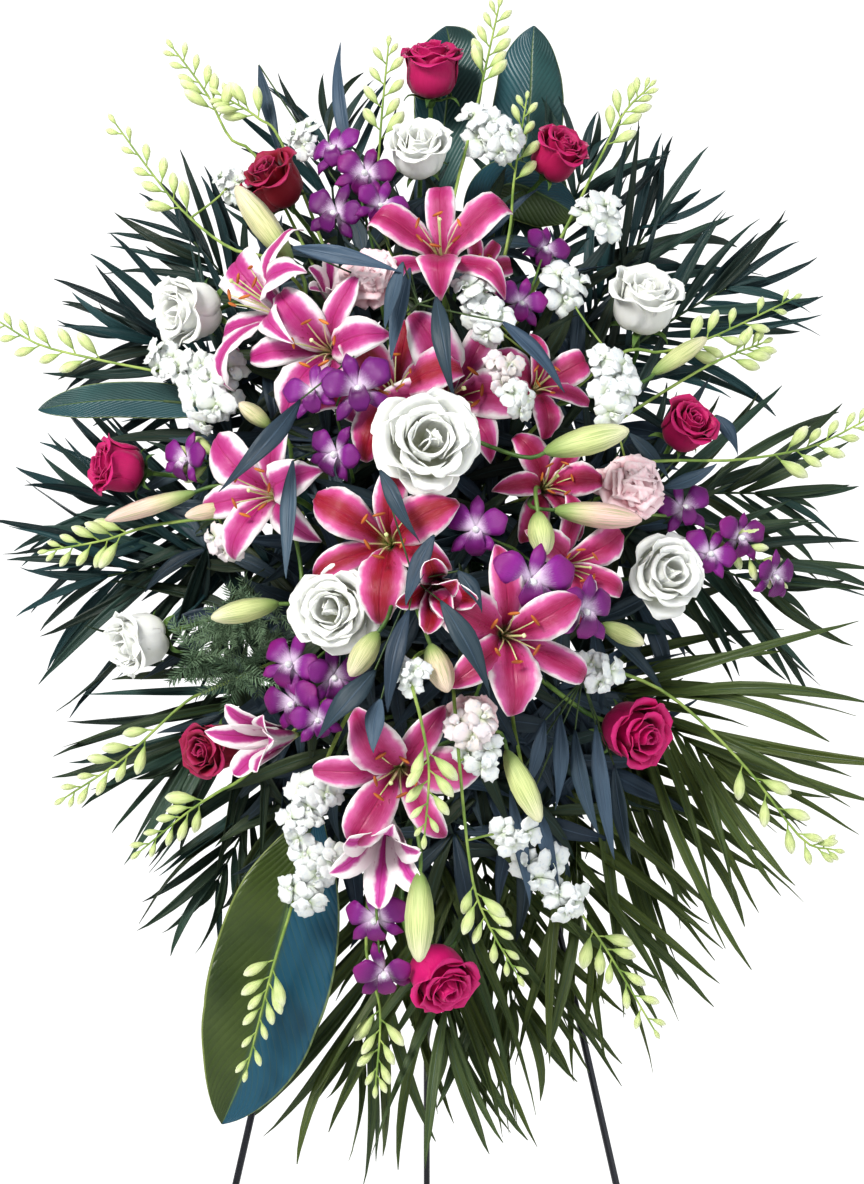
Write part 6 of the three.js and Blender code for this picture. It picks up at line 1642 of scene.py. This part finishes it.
def makeBroadLeaf(node):
    plan = broadLeaves[node]
    across, rowCount = 17, 40
    blade = addGrid(across, rowCount)
    points = [seen(point) for point in plan["line"]]
    halves = [*[half * mm for half in plan["halves"]], 0.0]
    step, top = bladeRules["step"], Vector((0, -1, 0))
    for i in range(rowCount):
        share = i / (rowCount - 1)
        centre = curveAt(points, share)
        along = (curveAt(points, min(share + step, 1)) - curveAt(points, max(share - step, 0))).normalized()
        side = along.cross(top).normalized()
        top = side.cross(along).normalized()
        half = curveAt(halves, min(share, plan["tip"]))
        if share > plan["tip"]:
            past = (share - plan["tip"]) / (1 - plan["tip"])
            half *= max(1 - past ** 1.7, 0.01)
        for j in range(across):
            x = 2 * j / (across - 1) - 1
            wave = plan["wave"] * math.sin(share * 21 + 2.4 * x) * abs(x) ** 2 * min(1, share * 4)
            lift = plan["cup"] * abs(x) ** 1.3 + wave
            blade.data.vertices[i * across + j].co = centre + side * half * x + top * half * lift
    addWall(blade, 0.0012)
    bpy.ops.object.shade_smooth()
    blade.data.materials.append(finishes["broad"])
    setTone(blade.data, (*plan["tone"], 0.5))
    root, leave = rootOf(node)
    way = (points[1] - points[0]).normalized()
    bent = leave.lerp(points[0] - way * 0.02, 0.6)
    stalk = smoothLine([root, leave, bent, points[0], curveAt(points, 0.3)], 3.6, 1.6, 16)
    tube = makeTubes(node + "_stalk", finishes["darkStem"], [stalk])
    finishPiece(node + "_blade", [blade, tube], node)


for node in broadLeaves:
    makeBroadLeaf(node)
print("broad leaves:", len(broadLeaves))


# Palm fronds: where each ends, how far it arches up, how long its leaflets are, and from which share of its
# length it has them
palms = {
    "palm_upper_right": {
        "tone": (0.45, 0.05),
        "fronds": [
            {"tip": [158, 392, 20], "arch": 6, "reach": 86, "start": 0.45},
            {"tip": [228, 336, 26], "arch": 12, "reach": 98, "start": 0.4},
            {"tip": [300, 272, 52], "arch": 16, "reach": 98, "start": 0.45},
        ],
    },
    "palm_right": {
        "tone": (0.45, 0.35),
        "fronds": [
            {"tip": [344, 66, 24], "arch": 14, "reach": 104, "start": 0.45},
            {"tip": [340, -26, 56], "arch": 12, "reach": 108, "start": 0.45},
        ],
    },
    "palm_lower_right": {
        "tone": (0.75, 1.1),
        "fronds": [
            {"tip": [282, -196, 78], "arch": 14, "reach": 156, "start": 0.45},
            {"tip": [214, -236, 26], "arch": 8, "reach": 160, "start": 0.4},
            {"tip": [168, -372, 52], "arch": 6, "reach": 136, "start": 0.45},
        ],
    },
    "palm_bottom": {
        "tone": (0.65, 0.9),
        "fronds": [
            {"tip": [86, -440, 30], "arch": 2, "reach": 124, "start": 0.45},
            {"tip": [20, -468, 56], "arch": 0, "reach": 146, "start": 0.4},
            {"tip": [-66, -476, 22], "arch": -2, "reach": 136, "start": 0.45},
        ],
    },
    "palm_lower_left": {
        "tone": (0.45, 0.35),
        "fronds": [
            {"tip": [-238, -192, 52], "arch": 8, "reach": 122, "start": 0.4},
            {"tip": [-208, -320, 24], "arch": 4, "reach": 96, "start": 0.4},
        ],
    },
    "palm_left": {
        "tone": (0.45, 0.05),
        "fronds": [
            {"tip": [-318, -16, 56], "arch": 14, "reach": 116, "start": 0.4},
            {"tip": [-316, 56, 28], "arch": 16, "reach": 108, "start": 0.45},
        ],
    },
    "palm_upper_left": {
        "tone": (0.4, 0.0),
        "fronds": [
            {"tip": [-288, 226, 54], "arch": 18, "reach": 98, "start": 0.4},
            {"tip": [-232, 318, 26], "arch": 14, "reach": 92, "start": 0.4},
            {"tip": [-98, 426, 22], "arch": 4, "reach": 92, "start": 0.45},
        ],
    },
}


leaflets = {"pairs": 12, "half": 0.0058, "stalk": 2.6, "longer": (1.35, 1.85)}


def addFrond(hub, frond, tone, batch, lines):
    end = seen(frond["tip"])
    middle = hub.lerp(end, 0.5) + Vector((0, 0, 2 * frond["arch"] * mm))

    def at(t):
        return hub * (1 - t) ** 2 + middle * 2 * t * (1 - t) + end * t * t

    line = [at(i / 15) for i in range(16)]
    lines.append((line, [leaflets["stalk"] * (1 - 0.6 * i / 15) for i in range(16)]))
    for i in range(leaflets["pairs"]):
        share = i / (leaflets["pairs"] - 1)
        t = frond["start"] - 0.06 + (1.06 - frond["start"]) * share
        spot = at(t)
        along = (at(min(t + 0.02, 1)) - at(t - 0.02)).normalized()
        across = along.cross(Vector((0, -1, 0))).normalized()
        swell = math.sin(math.pi * (0.28 + 0.55 * share))
        for sign in (-1, 1):
            angle = math.radians(50 - 34 * share + random.uniform(-5, 5))
            length = frond["reach"] * mm * swell * random.uniform(*leaflets["longer"])
            droop = Vector((0, random.uniform(-0.3, 0.3), random.uniform(-0.36, 0.06)))
            way = along * math.cos(angle) + across * sign * math.sin(angle) + droop
            tip = spot + way.normalized() * length
            normal = Vector((random.uniform(-0.5, 0.5) - 0.3 * sign, -1, random.uniform(-0.2, 0.5)))
            depth = clamp(tone[0] + random.uniform(-0.35, 0.4))
            warmth = clamp(tone[1] + random.uniform(-0.2, 0.2))
            chance = random.random()
            blade = random.choice(palmBlades)
            half = leaflets["half"] * vary(0.2) * (0.6 + 0.4 * swell)
            copyOf(blade, bladeMatrix(spot, tip, normal, half), (depth, warmth, chance), batch)
    tip = end + (end - at(0.9)).normalized() * frond["reach"] * mm * 0.5
    last = bladeMatrix(end, tip, Vector((0, -1, 0)), leaflets["half"] * 0.8)
    copyOf(palmBlades[0], last, (*tone, 0.5), batch)


def makePalm(node):
    plan = palms[node]
    root, leave = rootOf(node)
    batch, lines = [], [([root, leave], [5, 4])]
    for frond in plan["fronds"]:
        addFrond(leave, frond, plan["tone"], batch, lines)
    batch.append(makeTubes(node + "_stalks", finishes["darkStem"], lines))
    finishPiece(node + "_fronds", batch, node)


for node in palms:
    makePalm(node)
print("palms:", len(palms))


# Fine fern: a sprig of needles, many times over
fern = {
    "node": "fern_tuft",
    "tips": [[-236, -100, 150], [-200, -66, 168], [-190, -120, 168]],
    "sprigs": 26,
    "needles": 13,
}
fernBlades = makeLeafBlades("fern")


def makeSprig():
    batch = []
    for i in range(fern["needles"]):
        share = i / (fern["needles"] - 1)
        for sign in (-1, 1):
            spot = Vector((0, 0.03 * share, 0))
            tip = spot + Vector((sign * 0.009 * (1.1 - 0.6 * share), 0.006, random.uniform(-0.004, 0.006)))
            copyOf(fernBlades[i % 4], bladeMatrix(spot, tip, Vector((0, 0, 1)), 0.0007), (0, 0, 0), batch)
    stem = [Vector((0, 0, 0)), Vector((0, 0.034, 0))]
    batch.append(makeTubes("fern_sprig_stem", finishes["fern"], [(stem, [0.35, 0.25])]))
    sprig = joinBatch(batch)
    sprig.data.attributes.remove(sprig.data.attributes["tone"])
    masters.append(sprig)
    return sprig


fernSprig = makeSprig()


def makeFern():
    root, leave = rootOf(fern["node"])
    batch, lines = [], [([root, leave], [2.4, 2.0])]
    for tip in fern["tips"]:
        end = seen(tip)
        middle = leave.lerp(end, 0.55) + Vector((0, 0, 0.02))
        points = [leave, middle, end]
        lines.append(smoothLine(points, 1.6, 0.5, 14))
        for k in range(fern["sprigs"]):
            spot = curveAt(points, 0.55 + 0.45 * k / (fern["sprigs"] - 1))
            angle = random.uniform(0, 2 * math.pi)
            out = Vector((math.cos(angle), random.uniform(-0.5, 0.2), math.sin(angle)))
            way = (out + (end - middle).normalized() * 0.5).normalized()
            size = random.uniform(0.7, 1.3)
            normal = Vector((random.uniform(-1, 1), -1, random.uniform(-1, 1)))
            tone = (random.random(), random.random() * 0.5, 0)
            copyOf(fernSprig, bladeMatrix(spot, spot + way * size, normal, size), tone, batch)
    batch.append(makeTubes("fern_tuft_stems", finishes["fern"], lines))
    finishPiece("fern_tuft_fronds", batch, fern["node"])


makeFern()
print("fern: done")


# The stand and the holder keep their CAD shapes and get their own finishes
standLooks = {
    "easel": {
        "name": "black_painted_steel",
        "sockets": {"Metallic": 0.35, "Roughness": 0.42, "Coat_Weight": 0.2},
        "grain": 420.0,
        "patches": 22.0,
        "dark": (0.004, 0.005, 0.009),
        "light": (0.013, 0.014, 0.022),
        "bump": 0.12,
        "roughness": (0.35, 0.55),
    },
    "holder": {
        "name": "green_plastic",
        "sockets": {"Roughness": 0.4},
        "grain": 900.0,
        "patches": 30.0,
        "dark": (0.006, 0.045, 0.016),
        "light": (0.014, 0.085, 0.032),
        "bump": 0.15,
        "roughness": (0.3, 0.5),
    },
}


def makeStandFinish(look):
    finish = newFinish(look["name"], **look["sockets"])
    places = addNode(finish, "TexCoord").outputs["Object"]
    grain = noiseOn(finish, places, look["grain"])
    patches = noiseOn(finish, places, look["patches"])
    colour = mix(finish, fade(finish, patches, 0.35, 0.75), look["dark"], look["light"])
    roughness = fade(finish, patches, 0.3, 0.8, *look["roughness"])
    return dress(finish, colour, grain, look["bump"], roughness)


def makeWetFoam():
    finish = newFinish("wet_floral_foam", Roughness=0.85)
    places = addNode(finish, "TexCoord").outputs["Object"]
    pores = addNode(finish, "TexVoronoi", Vector=places, Scale=700.0).outputs["Distance"]
    patches = noiseOn(finish, places, 34.0)
    colour = mix(finish, fade(finish, patches, 0.35, 0.7), (0.012, 0.05, 0.016), (0.05, 0.14, 0.045))
    # The pores are painted darker: painted shade in the foam's small cells
    colour = mix(finish, fade(finish, pores, 0.35, 0.1, 0.0, 0.6), colour, (0.006, 0.025, 0.008))
    return dress(finish, colour, pores, 0.6)


standFinishes = {
    "easel": makeStandFinish(standLooks["easel"]),
    "holder_foam": makeWetFoam(),
    "holder": makeStandFinish(standLooks["holder"]),
}
for node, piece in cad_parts.items():
    start = next((key for key in standFinishes if node.startswith(key)), None)
    if start:
        piece.data.materials.clear()
        piece.data.materials.append(standFinishes[start])


# Floor and light. The floor fades to the backdrop's own white over these distances
studio = {
    "radius": 9,
    "fade": (1.1, 2.3),
    "backdrop": (0.985, 0.985, 0.985, 1),
    "sky": {"colour": (0.92, 0.96, 1.0, 1), "power": 0.38},
    "aim": Vector((0, 0, 1.1)),
    "lamps": {
        "key": {"at": (-1.9, -3.0, 3.3), "size": 1.2, "power": 150, "colour": (1.0, 0.98, 0.95)},
        "fill": {"at": (2.6, -2.6, 1.8), "size": 2.2, "power": 30, "colour": (0.94, 0.97, 1.0)},
        "back": {"at": (0.6, 2.6, 3.0), "size": 2.0, "power": 40, "colour": (1.0, 1.0, 1.0)},
    },
}


def makeFloor():
    deselectAll()
    bpy.ops.mesh.primitive_circle_add(vertices=96, radius=studio["radius"], fill_type="NGON")
    floor = bpy.context.object
    floor.name = "studio_floor"
    pale = newFinish("pale_floor", Roughness=0.9, Specular_IOR_Level=0.1, Emission_Color=studio["backdrop"])
    places = addNode(pale, "TexCoord").outputs["Object"]
    distance = addNode(pale, "VectorMath", operation="LENGTH", Vector=places).outputs["Value"]
    far = fade(pale, distance, *studio["fade"])
    near = mix(pale, noiseOn(pale, places, 2.0), (0.90, 0.90, 0.90), (0.93, 0.93, 0.93))
    dress(pale, mix(pale, far, near, (0.0, 0.0, 0.0)))
    join(pale, far, pale.node_tree.nodes["Principled BSDF"].inputs["Emission Strength"])
    floor.data.materials.append(pale)


def makeSky():  # lights the scene softly, and shows the camera the backdrop
    world = bpy.data.worlds.new("studio")
    world.use_nodes = True
    bpy.context.scene.world = world
    tree = world.node_tree
    sky = tree.nodes["Background"]
    sky.inputs["Color"].default_value = studio["sky"]["colour"]
    sky.inputs["Strength"].default_value = studio["sky"]["power"]
    backdrop = tree.nodes.new("ShaderNodeBackground")
    backdrop.inputs["Color"].default_value = studio["backdrop"]
    choice = tree.nodes.new("ShaderNodeMixShader")
    rays = tree.nodes.new("ShaderNodeLightPath")
    tree.links.new(rays.outputs["Is Camera Ray"], choice.inputs[0])
    tree.links.new(sky.outputs[0], choice.inputs[1])
    tree.links.new(backdrop.outputs[0], choice.inputs[2])
    tree.links.new(choice.outputs[0], tree.nodes["World Output"].inputs["Surface"])


def addLamp(name, lamp):
    place = Vector(lamp["at"])
    aim = (place - studio["aim"]).to_track_quat("Z", "Y").to_euler()
    bpy.ops.object.light_add(type="AREA", location=place, rotation=aim)
    light = bpy.context.object
    light.name = "studio_" + name
    light.data.size = lamp["size"]
    light.data.energy = lamp["power"]
    light.data.color = lamp["colour"]


makeFloor()
makeSky()
for name, lamp in studio["lamps"].items():
    addLamp(name, lamp)
bpy.context.scene.view_settings.view_transform = "Standard"
bpy.context.scene.view_settings.look = "Medium High Contrast"
print("studio: done")

for master in masters:
    bpy.data.objects.remove(master)
